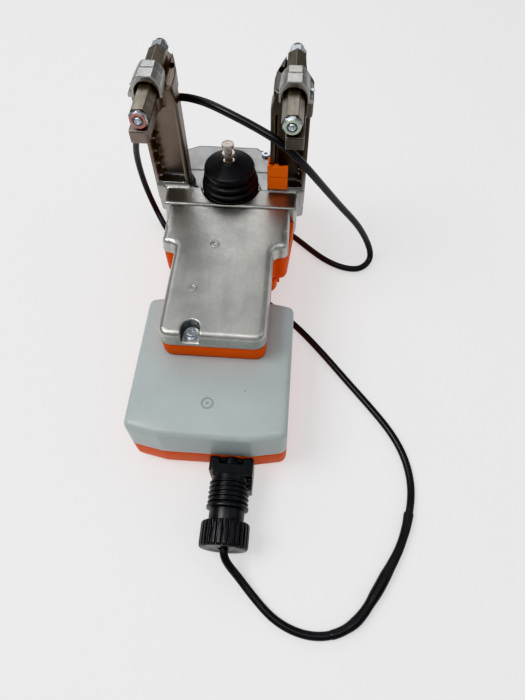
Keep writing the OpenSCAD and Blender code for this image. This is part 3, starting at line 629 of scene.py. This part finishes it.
# stripped cores with ferrules at the far end
cores = []
for k in range(4):
    a = math.radians(142.4 + (k - 1.5) * 7)
    d = Vector((math.cos(a), math.sin(a), 0))
    side = Vector((-d.y, d.x, 0))
    p0 = Vector((34, 29, 2.5)) + side * ((k - 1.5) * 0.75) + Vector((0, 0, (k % 2) * 0.4 - 0.2)) - d * 0.8
    pts = [p0 + d * (j * 1.03) + side * (0.25 * math.sin(j * 0.5 + k)) for j in range(18)]
    w = add_obj("lead_core_%d" % (k + 1), tube(pts, lambda i, a: 0.6, 12), "wire%d" % k, angle=60)
    q0 = pts[-1] - d * 0.4
    ends = [q0 + d * j for j in (0, 1.4, 1.5, 6.3)]
    f = add_obj("lead_ferrule_%d" % (k + 1), tube(ends, lambda i, a: [0.78, 0.78, 0.5, 0.42][i], 12), "ferrule", angle=30)
    cores += [w, f]
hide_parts("lead_wires")

# ------------------------------------------------------------------ stage and light
bm = boxbm(-4000, 4000, -4000, 4000, -2, -0.02)
floor = add_obj("floor", bm, "grey", body=None)
fm = Mat("pale_floor")
fm.set((0.90, 0.90, 0.895), fm.range(fm.noise(3, 3), 0.3, 0.7, 0.55, 0.65), None, Specular_IOR_Level=0.2)
floor.data.materials.clear()
fm.b.inputs["Base Color"].default_value = (0.40, 0.40, 0.40, 1)
fm.b.inputs["Emission Color"].default_value = (1.0, 1.0, 1.0, 1)
fm.b.inputs["Emission Strength"].default_value = 0.52
floor.data.materials.append(fm.m)


def area(name, loc, target, size, energy, color=(1, 1, 1), sy=None):
    L = bpy.data.lights.new(name, "AREA")
    L.shape = "RECTANGLE"
    L.size = size
    L.size_y = sy or size
    L.energy = energy
    L.color = color
    o = bpy.data.objects.new(name, L)
    scene.collection.objects.link(o)
    o.location = loc
    d = Vector(target) - Vector(loc)
    o.rotation_euler = d.to_track_quat("-Z", "Y").to_euler()
    return o


area("key_left", (-0.75, -0.25, 1.25), (0, -0.1, 0.05), 0.7, 9.5, (1.0, 0.99, 0.97), 0.7)
area("back_soft", (-0.25, 1.05, 1.0), (0, -0.05, 0.05), 1.1, 3.4, (1.0, 1.0, 1.0), 0.5)
area("fill_right", (1.1, 0.0, 0.9), (0, -0.05, 0.08), 0.7, 1.6, (1.0, 0.98, 0.95), 1.0)
area("front_low", (0.35, -1.25, 0.55), (0, -0.1, 0.05), 0.8, 0.25, (1.0, 0.97, 0.93), 0.4)
area("top", (0.15, -0.45, 1.5), (0, -0.1, 0), 0.8, 3.2, (1, 1, 1), 0.8)
world = bpy.data.worlds.new("studio")
scene.world = world
world.use_nodes = True
wt = world.node_tree
wbg = wt.nodes["Background"]
tc = wt.nodes.new("ShaderNodeTexCoord")
sp = wt.nodes.new("ShaderNodeSeparateXYZ")
wt.links.new(tc.outputs["Generated"], sp.inputs[0])
rp = wt.nodes.new("ShaderNodeValToRGB")
rp.color_ramp.elements[0].position = 0.0
rp.color_ramp.elements[0].color = (0.40, 0.39, 0.38, 1)
rp.color_ramp.elements[1].position = 0.7
rp.color_ramp.elements[1].color = (0.80, 0.82, 0.85, 1)
wt.links.new(sp.outputs["Z"], rp.inputs["Fac"])
wt.links.new(rp.outputs["Color"], wbg.inputs["Color"])
wbg.inputs["Strength"].default_value = 0.42
scene.view_settings.view_transform = "Khronos PBR Neutral"

# ------------------------------------------------------------------ motor box
cx = 1.5
BW, WALL = 49.75, 2.6


def box_outline(d=0.0):
    return [(cx - 27.6 + d / 3, -185.3 + d), (cx + 27.6 - d / 3, -185.3 + d), (cx + BW - d, -181 + d),
            (cx + BW - d, -87 - d), (cx + 27.6 - d / 3, -83 - d), (cx - 27.6 + d / 3, -83 - d),
            (cx - BW + d, -87 - d), (cx - BW + d, -181 + d)]


ro = [9, 9, 5.5, 5.5, 9, 9, 5.5, 5.5]
outer = fillet(box_outline(), ro, 8)


def draft(levels, z0, z1, amount):
    return [(z, d + amount * (z - z0) / (z1 - z0)) for z, d in levels]


# lower shell: rounded bottom, fine lip under the seam
lv = round_levels(0.0, 21.6, 7.0, 0, nb=8, bot_in=0.6)
lv = [l for l in lv if l[0] < 21.6] + [(21.0, 0.0), (21.6, 0.05), (21.95, 0.35), (22.3, 0.45)]
o = add_obj("box_lower_shell", shell(outer, lv), "orange", angle=40)
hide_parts("case_lower")
# upper shell: slight draft, rounded top edge
lv = [(22.35, 0.45), (22.6, 0.12), (23.0, 0.0), (30, 0.05), (44.6, 0.35)]
for k in range(1, 9):
    a = math.pi / 2 * k / 8
    lv.append((45.8 + 4.2 * math.sin(a), 0.4 + 4.2 * (1 - math.cos(a))))
lv.append((50.1, 5.0))
bm = shell(outer, lv)
# moulding ring and gate mark on the top
ring = lathe([(2.7, -0.4), (2.75, 0.10), (3.0, 0.26), (3.5, 0.28), (3.9, 0.12), (4.0, -0.4)], 64, at=(1.3, -162.7, 50.1), cap=False)
dot = lathe([(0.01, 0.22), (0.7, 0.2), (1.05, 0.08), (1.1, -0.3)], 32, at=(1.3, -162.7, 50.1), cap=False)
dot2 = lathe([(0.01, 0.16), (0.5, 0.12), (0.9, 0.0), (0.95, -0.3)], 24, at=(23.5, -153.0, 50.02), cap=False)
o = add_obj("box_upper_shell", bm, "grey", angle=40)
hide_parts("case_upper")
add_obj("moulded_gate_mark", join_bm(ring, dot, dot2), "grey_mark", angle=50)

# ------------------------------------------------------------------ orange gearbox base
hw, ww = 33.55, 43.1
ho = [(cx - hw + 0.6, -130.9), (cx + hw - 0.6, -130.9), (cx + hw - 0.6, -58.0), (cx + ww - 0.6, -58.0), (cx + 45.8, -23), (cx + 45.8, -6),
      (49.4, 8), (42.4, 41.4), (15, 51.4), (-30, 51.9), (-38.6, 46.9), (-49.4, 8), (cx - 45.8, -6), (cx - 45.8, -23),
      (cx - ww + 0.6, -58.0), (cx - hw + 0.6, -58.0)]
hr = [7, 7, 2.5, 6, 4, 3, 4, 7, 8, 8, 6, 4, 3, 4, 6, 2.5]
hout = fillet(ho, hr, 6)
a_solids = []
front = fillet(ho[:4] + [(cx + 45.7, -23.1), (cx - 45.7, -23.1)] + ho[-2:], [7, 7, 2.5, 6, 0.8, 0.8, 6, 2.5], 6)
top = shell(front, [(50.3, 0.9), (50.6, 0.35), (51.2, 0.1), (53, 0), (62.2, 0), (62.7, 0.25), (62.9, 0.5)])
# the overhanging part reaches lower behind the box
rear = fillet([(cx - hw + 0.6, -82.4), (cx + hw - 0.6, -82.4)] + ho[2:], [3, 3] + hr[2:], 6)
low = shell(rear, [(39.6, 3.4), (40.1, 1.9), (41.0, 0.9), (42.5, 0.25), (44, 0), (49.7, 0.0), (49.95, 0.25)])
mid = shell(fillet([(cx - hw + 0.6, -82.4), (cx + hw - 0.6, -82.4)] + ho[2:4] + [(cx + 45.7, -23.1), (cx - 45.7, -23.1)] + ho[-2:],
                   [3, 3, 2.5, 6, 0.8, 0.8, 6, 2.5], 6), [(49.0, 0.3), (49.3, 0.0), (52.4, 0.0), (52.6, 0.3)])
sump = shell(fillet([(cx - 36.9, -61.9), (cx + 35.9, -61.9), (cx + 35.9, 33.9), (cx - 36.9, 33.9)], 6, 6),
             [(28.1, 3.0), (28.6, 1.6), (29.6, 0.6), (31.5, 0), (40.5, 0)])
ribs = [boxbm(cx + 35.2, cx + 37.5, y, y + 1.5, 29.2, 39.9) for y in (-52, -42, -32)]
o = add_obj("gearbox_base", join_bm(top, mid, low, sump, *ribs), "orange", angle=40)
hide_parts("mid_housing")
cover = lathe([(0.01, 0.0), (16.5, 0.0), (18.2, 0.35), (19.3, 1.3), (19.85, 2.8), (20.0, 5), (20.0, 24.6), (20.6, 25.0), (23.4, 25.1), (24.0, 25.7), (24.0, 28.0), (0.01, 28.0)], 96, cap=False)
o = add_obj("spindle_dome", cover, "orange", angle=40)
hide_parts("spindle_cover")

# ------------------------------------------------------------------ cast gear cover
co = [(cx - hw, -131.5), (cx + hw, -131.5), (cx + hw, -58.5), (cx + ww, -58.5), (cx + ww, -22.6), (cx - ww, -22.6), (cx - ww, -58.5), (cx - hw, -58.5)]
cr_ = [7.5, 7.5, 4.5, 7.5, 2, 2, 7.5, 4.5]
cout = fillet(co, cr_, 8)


def cover_levels(z0, z1, r):
    L = [(z0, 0.5), (z0 + 0.5, 0.1), (z0 + 1.2, 0.0), (z1 - r - 0.5, 0.6)]
    for k in range(1, 8):
        a = math.pi / 2 * k / 7
        L.append((z1 - r + r * math.sin(a), 0.6 + r * (1 - math.cos(a))))
    return L


body_c = shell(cout, cover_levels(63.1, 74.7, 4.0))
flange = shell(cout, [(63.1, 0.3), (63.3, 0.05), (64.9, -0.0), (65.3, 0.4)])
pocket = [extrude_z(fillet([(-17.3, -140), (-5.7, -140), (-5.7, -124.3), (-7.2, -120.4), (-11.5, -118.4), (-15.8, -120.4), (-17.3, -124.3)], [0.1, 0.1, 4.5, 4, 4, 4, 4.5], 6), 66.0, 80)]
marks = [lathe([(1.9, -1), (2.0, 0.28), (2.35, 0.34), (2.7, 0.28), (2.8, -1)], 40, at=(-4.4, -58.2, 74.6), cap=False)]
back_c = shell(fillet([(cx - ww + 0.9, -44), (cx + ww - 0.9, -44), (cx + ww - 0.9, -22.6), (cx - ww + 0.9, -22.6)], 1.2, 4),
               [(63.2, 0.1), (73.2, 0.2), (74.0, 0.5), (74.55, 1.2)])
cover_o = cast_piece("gear_cover_casting", [body_c, flange, back_c], pocket, "cast", 0.6, 5)
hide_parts("gear_cover")


def ejector(name, x, y, z, r0, r1, h, mat):
    p = lathe([(r0, -0.5), (r0 + 0.06, h * 0.7), (r0 + (r1 - r0) * 0.35, h), (r0 + (r1 - r0) * 0.65, h), (r1 - 0.06, h * 0.5), (r1, -0.5)], 48, at=(x, y, z), cap=False)
    # bridge the open inside with a shallow dish
    d = lathe([(0.01, -0.02), (r0 * 0.6, -0.01), (r0 + 0.02, 0.05)], 48, at=(x, y, z), cap=False)
    return add_obj(name, join_bm(p, d), mat, angle=60)


ejector("ejector_mark_1", -4.4, -58.2, 74.62, 1.5, 3.2, 0.62, "cast")
ejector("ejector_mark_2", -14.2, -95.4, 74.62, 1.4, 2.9, 0.58, "cast")
dress("cover_screw", "zinc", 0.18, "zinc_steel")

# ------------------------------------------------------------------ cast yoke
ear = [(38.5, -11), (54.5, -11), (54.5, 8), (52, 14), (50, 19), (48.8, 38), (45, 44.7), (37.9, 36.4), (35.9, 32.4),
       (34.3, 27.5), (32.7, 22), (31.2, 16.8), (30.3, 9), (30.3, -3), (36, -3)]


def arm_solids(right):
    s = []
    prof = [(28.7, 61.5), (53.5, 61.5), (53.5, 149.2), (32.3, 149.2), (28.7, 138)]
    # web and flanges of the channel
    s.append(extrude_y(prof, 3.6, 6.9))
    s.append(extrude_y([(28.7, 61.5), (31.9, 61.5), (31.9, 148.5), (28.7, 138)], -4.9, 6.9))
    s.append(extrude_y([(50.1, 61.5), (53.5, 61.5), (53.5, 149.2), (50.1, 149.2)], -4.9, 6.9))
    s.append(extrude_y([(28.7, 61.5), (53.5, 61.5), (53.5, 77.5), (28.7, 77.5)], -4.9, 6.9))
    s.append(extrude_y([(28.7, 134.5), (53.5, 134.5), (53.5, 149.2), (32.3, 149.2), (28.7, 138)], -4.9, 6.9))
    # rolled inner rib of the front edge
    s.append(extrude_y([(28.7, 76), (30.6, 76), (30.6, 137), (28.7, 137)], -5.0, -3.5))
    # head pad, tongue
    s.append(extrude_z(ear, 137.7, 149.9))
    s.append(extrude_y([(39.1, 137.7), (50.4, 137.7), (50.4, 146.3), (39.1, 146.3)], -40.9, -3))
    # foot gussets
    s.append(extrude_y([(26.6, 62.5), (30, 62.5), (30, 78.5), (29.0, 76.4), (28.4, 75.6), (27.6, 74.6), (26.6, 72.0)], -4.9, 6.9))
    s.append(extrude_x([(3, 62.5), (14, 62.5), (12.2, 65.5), (8.5, 69), (6.8, 75.5), (3, 75.5)], 29, 53.3))
    return s


ysol = []
ysol += arm_solids(True)
ysol += [mirror_x(b) for b in arm_solids(False)]
plate = fillet([(cx - 47.3, -22.9), (cx + 47.3, -22.9), (cx + 47.3, -6), (53.4, -5), (53.4, 10), (44.8, 43.8), (24.9, 51.1), (17.5, 51.6), (15.5, 54.4),
                (-30.9, 54.4), (-40.6, 49.3), (-53.4, 10), (-53.4, -5), (cx - 47.3, -6)], [2, 2, 2, 2, 5, 6, 1, 1, 2, 5, 4, 5, 2, 2], 4)
ysol.append(shell(plate, [(50.1, 0.6), (50.6, 0.15), (56, 0.0), (62.4, 0.0), (62.9, 0.4)]))
band = fillet([(cx - 47.2, -22.9), (cx + 47.2, -22.9), (cx + 47.2, -6), (cx - 47.2, -6)], 2.5, 5)
ysol.append(shell(band, [(60.2, 0.3), (72.6, 0.2), (73.9, 0.7), (74.4, 1.6)]))
ysol.append(extrude_y([(-48, 72.2), (49, 72.2), (48.0, 74.4), (-46.6, 74.4)], -7.4, -4.8))
for s_ in (-1, 1):
    ysol.append(boxbm(min(s_ * 29, s_ * 52.6), max(s_ * 29, s_ * 52.6), -6.4, 8.9, 61, 75.5))
    for z in (82.6, 93.0, 103.0, 113.0):
        ysol.append(boxbm(min(s_ * 47.3, s_ * 50.6), max(s_ * 47.3, s_ * 50.6), -3.9, 4, z - 0.9, z + 0.9))
ysol.append(lathe([(0.01, 60.1), (21.5, 60.1), (21.5, 69.0), (0.01, 69.0)], 96, cap=False))
# raised pad with a softened edge and a round boss on the back plate
ysol.append(shell(fillet([(-45, -22), (46, -22), (46, 25.2), (-45, 25.2)], 2, 3), [(61, 0.0), (63.45, 0.0), (63.6, 0.2)]))
ysol.append(lathe([(0.01, 61), (5.4, 61), (5.2, 63.0), (0.01, 63.0)], 48, at=(22.3, 45.2, 0), cap=False))
ycut = [extrude_z(fillet([(cx - 44.3, -30), (cx + 44.3, -30), (cx + 44.3, -3), (50.4, -2), (50.4, 9), (42, 41), (24, 49), (15, 50.5), (-29.5, 51),
                          (-38.5, 46.8), (-50.4, 9), (-50.4, -2), (cx - 44.3, -3)], 1.5, 4), 40, 60),
        lathe([(0.01, 69.0), (21.2, 69.0), (21.2, 90), (0.01, 90)], 96, cap=False)]
for s_ in (-1, 1):
    ycut.append(boxbm(min(s_ * 36.4, s_ * 49.6), max(s_ * 36.4, s_ * 49.6), -60, 70, 146.5, 170))
    ycut.append(moved(lathe([(0.01, -3), (1.9, -3), (1.9, 30), (0.01, 30)], 32, cap=False), Matrix.Translation((s_ * 0.0344, 0.0185, 0.1400)) @ Matrix.Diagonal((0.9, 1.7, 1, 1))))
yoke = cast_piece("yoke_casting_body", ysol, ycut, "cast_yoke", 0.65, 6)
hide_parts("yoke_casting")
dress("plate_screw", "zinc", 0.18)

# ------------------------------------------------------------------ saddles over the bars
def saddle_parts():
    o_ = [(34.1, 149.8), (34.1, 157.4), (36.4, 161.1), (38.7, 163.3), (47.3, 163.3), (49.6, 161.1), (51.9, 157.4), (51.9, 152.7), (54.5, 152.3), (54.5, 149.8)]
    a = extrude_y(o_, -15.4, -6.4)
    b = extrude_y([(x + (0.35 if x < 43 else -0.35), z - (0.35 if z > 158 else 0)) for x, z in o_], -6.6, 1.7)
    return [a, b]


def saddle_cuts():
    arch = [(36.0, 140), (36.0, 153)] + [(43 - 7 * math.cos(math.pi * k / 16), 153 + 7 * math.sin(math.pi * k / 16)) for k in range(1, 16)] + [(50.0, 153), (50.0, 140)]
    return [extrude_y(arch, -40, 40)]


for s_, nm in ((-1, "left"), (1, "right")):
    P_ = saddle_parts()
    C_ = saddle_cuts()
    if s_ < 0:
        P_ = [mirror_x(b) for b in P_]
        C_ = [mirror_x(b) for b in C_]
    o = cast_piece("saddle_casting_" + nm, P_, C_, "cast_saddle", 0.4, 4)
    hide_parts("saddle_" + nm)
dress("saddle_screws", "zinc", 0.12)

# ------------------------------------------------------------------ studs, sleeves, nuts
dress("front_sleeves", "hex", 0.22)
dress("rear_sleeves", "hex", 0.22)
dress("front_nuts", "zinc", 0.2)
dress("rear_nuts", "zinc", 0.3)


def hexring(rc, r_in, y0, y1, turn, chamfer, x, z=153.0):
    """Hex nut along Y with chamfered faces."""
    n = 72
    rings = []
    af = rc * math.cos(math.radians(30))
    def hexr(a, cap):
        k = (a - math.radians(turn)) % (math.pi / 3) - math.pi / 6
        r = af / math.cos(k)
        return min(r, cap)
    lv = [(y0, af - 0.25), (y0 + chamfer * 0.5, af + 0.25), (y0 + chamfer, rc + 0.01), (y1 - chamfer, rc + 0.01), (y1 - chamfer * 0.5, af + 0.25), (y1, af - 0.25)]
    for y, cap in lv:
        rings.append([(x + hexr(2 * math.pi * k / n, cap) * math.cos(2 * math.pi * k / n), y, z - hexr(2 * math.pi * k / n, cap) * math.sin(2 * math.pi * k / n)) for k in range(n)])
    rings.append([(x + (r_in + 0.35) * math.cos(2 * math.pi * k / n), y1, z - (r_in + 0.35) * math.sin(2 * math.pi * k / n)) for k in range(n)])
    rings.append([(x + r_in * math.cos(2 * math.pi * k / n), y1 - 0.4, z - r_in * math.sin(2 * math.pi * k / n)) for k in range(n)])
    rings.append([(x + r_in * math.cos(2 * math.pi * k / n), y0 + 0.4, z - r_in * math.sin(2 * math.pi * k / n)) for k in range(n)])
    rings.append([(x + (r_in + 0.35) * math.cos(2 * math.pi * k / n), y0, z - (r_in + 0.35) * math.sin(2 * math.pi * k / n)) for k in range(n)])
    rings.append(rings[0])
    return rings_bm(rings, False, False)


NR = 5 / math.cos(math.radians(30))
for s_, nm, turn, front in ((-1, "left", 30, "nut_red"), (1, "right", 46, "nut_green")):
    nut = add_obj("stud_nut_" + nm, hexring(NR, 3.03, -40.85, -37.75, turn, 0.9, s_ * 43), "zinc", angle=25)
    if s_ < 0:
        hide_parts("front_nuts")
    rim = lathe([(3.1, -0.02), (3.2, -0.18), (4.7, -0.18), (4.85, -0.02)], 64, axis="y", at=(s_ * 43, -40.85, 153), cap=False)
    add_obj("nut_marking_ring_" + nm, rim, front, angle=40)
    tip = lathe([(0.01, 33.35), (2.6, 33.35), (2.95, 33.0), (2.98, -36.0), (2.9, -40.1), (2.5, -40.35), (2.2, -41.0), (1.9, -41.6), (1.45, -41.84), (1.1, -41.75), (0.9, -41.45), (0.01, -41.3)], 48, axis="y", at=(s_ * 43, 0, 153), cap=False)
    st = add_obj("clamp_stud_" + nm, tip, "zinc", angle=40)
    if s_ < 0:
        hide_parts("clamp_studs")
    # thread behind the tip
    thr = lathe([(2.7 if k % 2 else 2.99, -40.0 + k * 0.25) for k in range(12)], 48, axis="y", at=(s_ * 43, 0, 153), cap=False)
    add_obj("stud_thread_" + nm, thr, "zinc", angle=20)

# ------------------------------------------------------------------ bellows
prof = [(4.25, 95.7), (4.8, 95.95), (5.5, 95.75), (6.4, 95.25), (9.0, 94.25), (12.0, 93.05), (15.0, 91.8), (16.5, 91.1), (17.2, 90.55), (17.6, 89.85),
        (17.68, 89.1), (17.6, 88.2), (17.45, 87.3), (17.2, 86.6), (16.5, 85.9), (15.5, 85.1), (15.8, 84.5), (17.4, 83.7), (18.4, 83.1), (18.75, 82.4),
        (18.75, 81.8), (18.4, 81.1), (17.3, 80.4), (16.4, 79.9), (16.5, 79.4), (18.0, 78.7), (19.4, 78.0), (20.0, 77.2), (20.05, 76.5),
        (19.6, 75.7), (18.5, 75.0), (17.8, 74.6), (18.2, 74.2), (19.4, 73.9), (20.1, 73.4), (20.25, 72.6), (20.2, 71.8), (19.9, 71.2), (19.7, 70.7), (20.0, 70.2), (20.0, 69.3), (19.8, 69.15), (17.5, 69.15)]
pf = []
for i in range(len(prof) - 1):
    for k in range(3):
        t = k / 3
        P0, P1, P2, P3 = prof[max(i - 1, 0)], prof[i], prof[i + 1], prof[min(i + 2, len(prof) - 1)]
        pf.append(tuple(0.5 * ((2 * P1[j]) + (-P0[j] + P2[j]) * t + (2 * P0[j] - 5 * P1[j] + 4 * P2[j] - P3[j]) * t * t + (-P0[j] + 3 * P1[j] - 3 * P2[j] + P3[j]) * t ** 3) for j in (0, 1)))
pf.append(prof[-1])
inner = [(max(r - 1.3, 4.3), h - 0.2) for r, h in reversed(pf[12:-3])]
bel = lathe(pf + inner + [pf[0]], 128, cap=False)
bellows = add_obj("rubber_bellows", bel, "rubber", body=None, angle=60)
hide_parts("bellows")
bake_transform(bellows)

# ------------------------------------------------------------------ spindle
sp_prof = [(0.01, 8.0), (3.6, 8.0), (4.0, 8.5), (4.0, 95.0), (3.8, 95.25), (2.8, 95.3), (2.8, 98.95), (4.15, 99.0), (4.4, 99.25), (4.4, 101.1), (4.15, 101.45), (2.65, 101.5),
           (2.55, 101.9), (2.55, 105.2), (3.0, 105.6), (4.05, 106.15), (4.2, 106.4), (4.2, 107.8), (4.0, 108.15), (3.6, 108.3), (1.0, 108.25), (0.7, 108.0), (0.01, 107.95)]
o = add_obj("valve_spindle", lathe(sp_prof, 72, cap=False), "stem", body="spindle_rod", angle=30)
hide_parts("spindle")

# ------------------------------------------------------------------ inside
for n_, m_ in (("case_seal", "seal"), ("cover_seal", "seal"), ("gland_seal", "seal"), ("case_screws", "zinc"), ("housing_screws", "zinc"),
               ("idler_axles", "zinc"), ("gear_bearing", "zinc"), ("spindle_bush", "brass"), ("motor_pinion", "brass"), ("drive_gear", "nylon"),
               ("idler_gear_large", "nylon"), ("idler_gear_small", "nylon"), ("motor", "can"), ("motor_screws", "zinc"), ("circuit_board", "board"),
               ("board_screws", "zinc"), ("terminal_block", "green"), ("board_parts", "dark")):
    dress(n_, m_)

# ------------------------------------------------------------------ stroke clips
dress("clip_lower", "orange_clip", 0.35)
dress("clip_upper", "orange_clip", 0.35)

# ------------------------------------------------------------------ gland
gx, gz = 17.2, 15.5
br = [extrude_y(fillet([(gx - 13.9, 1.2), (gx + 13.9, 1.2), (gx + 13.9, 21.8), (gx - 13.9, 21.8)], 2.2, 5), -197.4, -185.6),
      boxbm(gx + 10.7, gx + 13.9, -204.9, -197, 5.1, 17.9)]
bc = [boxbm(gx - 7.6, gx + 7.6, -189.8, -185.0, 16.8, 26), boxbm(gx - 16, gx - 11.2, -199, -194.6, 0, 30)]
bb = [boxbm(gx - 7.8, gx + 7.8, -188.3, -187.5, 16.5, 20.4), boxbm(gx - 6.3, gx - 2.4, -187.6, -185.8, 16.6, 20.0), boxbm(gx + 2.6, gx + 6.4, -187.6, -185.8, 16.6, 20.0)]
o = cast_piece("gland_bracket_block", br, bc, "black", 0.35, 2)
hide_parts("gland_bracket")
add_obj("gland_bracket_bars", join_bm(*bb), "black", angle=30)
gp = [(6.0, -234.0), (9.2, -234.0), (9.5, -233.6), (9.5, -224.9), (10.6, -224.8), (10.75, -224.4), (10.75, -217.8), (11.6, -217.4), (12.7, -217.25), (12.9, -216.9), (12.9, -215.7), (12.6, -215.2), (11.7, -215.0)]
y = -213.4
for k in range(5):
    gp += [(11.55, y - 0.75), (12.1, y - 0.62), (12.55, y - 0.3), (12.6, y), (12.55, y + 0.3), (12.1, y + 0.62), (11.55, y + 0.75)]
    y += 2.9
gp += [(11.5, -199.4), (11.5, -197.8), (11.0, -197.5), (10.7, -197.6), (6.0, -197.55), (5.98, -182.7), (7.3, -182.5), (7.4, -180.7), (3.3, -180.6), (3.3, -202.4), (6.0, -203), (6.0, -234.0)]
o = add_obj("gland_barrel", lathe(gp, 96, axis="y", at=(gx, 0, gz), cap=False), "black", angle=35)
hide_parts("gland_body")


def flute_ring(y, r, depth, n=26, per=14):
    ring = []
    m = n * per
    for k in range(m):
        a = 2 * math.pi * k / m
        ph = (k % per) / per
        # rounded rib with a narrower groove between
        g = 0.5 - 0.5 * math.cos(2 * math.pi * ph)
        g = max(0.0, min(1.0, (g - 0.55) / 0.35))
        g = g * g * (3 - 2 * g)
        rr = r - depth * g
        ring.append((gx + rr * math.cos(a), y, gz - rr * math.sin(a)))
    return ring


nr = []
for yy, r_, d_ in ((-225.05, 12.4, 0.0), (-225.05, 13.4, 0.0), (-225.2, 14.0, 0.2), (-225.6, 14.45, 0.6), (-226.4, 14.65, 0.95), (-228, 14.72, 1.1), (-232, 14.74, 1.1), (-237.2, 14.72, 1.1),
                   (-238.6, 14.65, 1.0), (-239.3, 14.4, 0.7), (-239.8, 13.9, 0.25), (-240.0, 13.2, 0.0), (-240.0, 11.6, 0.0), (-240.0, 9.0, 0.0), (-239.7, 8.4, 0.0), (-239.5, 6.5, 0.0), (-239.6, 5.2, 0.0),
                   (-239.9, 4.2, 0.0), (-239.8, 3.5, 0.0), (-239.3, 3.3, 0.0), (-234.2, 3.3, 0.0), (-234.2, 9.55, 0.0), (-225.4, 9.57, 0.0), (-225.05, 9.9, 0.0), (-225.05, 12.4, 0.0)):
    nr.append(flute_ring(yy, r_, d_))
o = add_obj("gland_cap_nut", rings_bm(nr, False, False), "black", body="cable_nut", angle=35)
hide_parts("gland_nut")
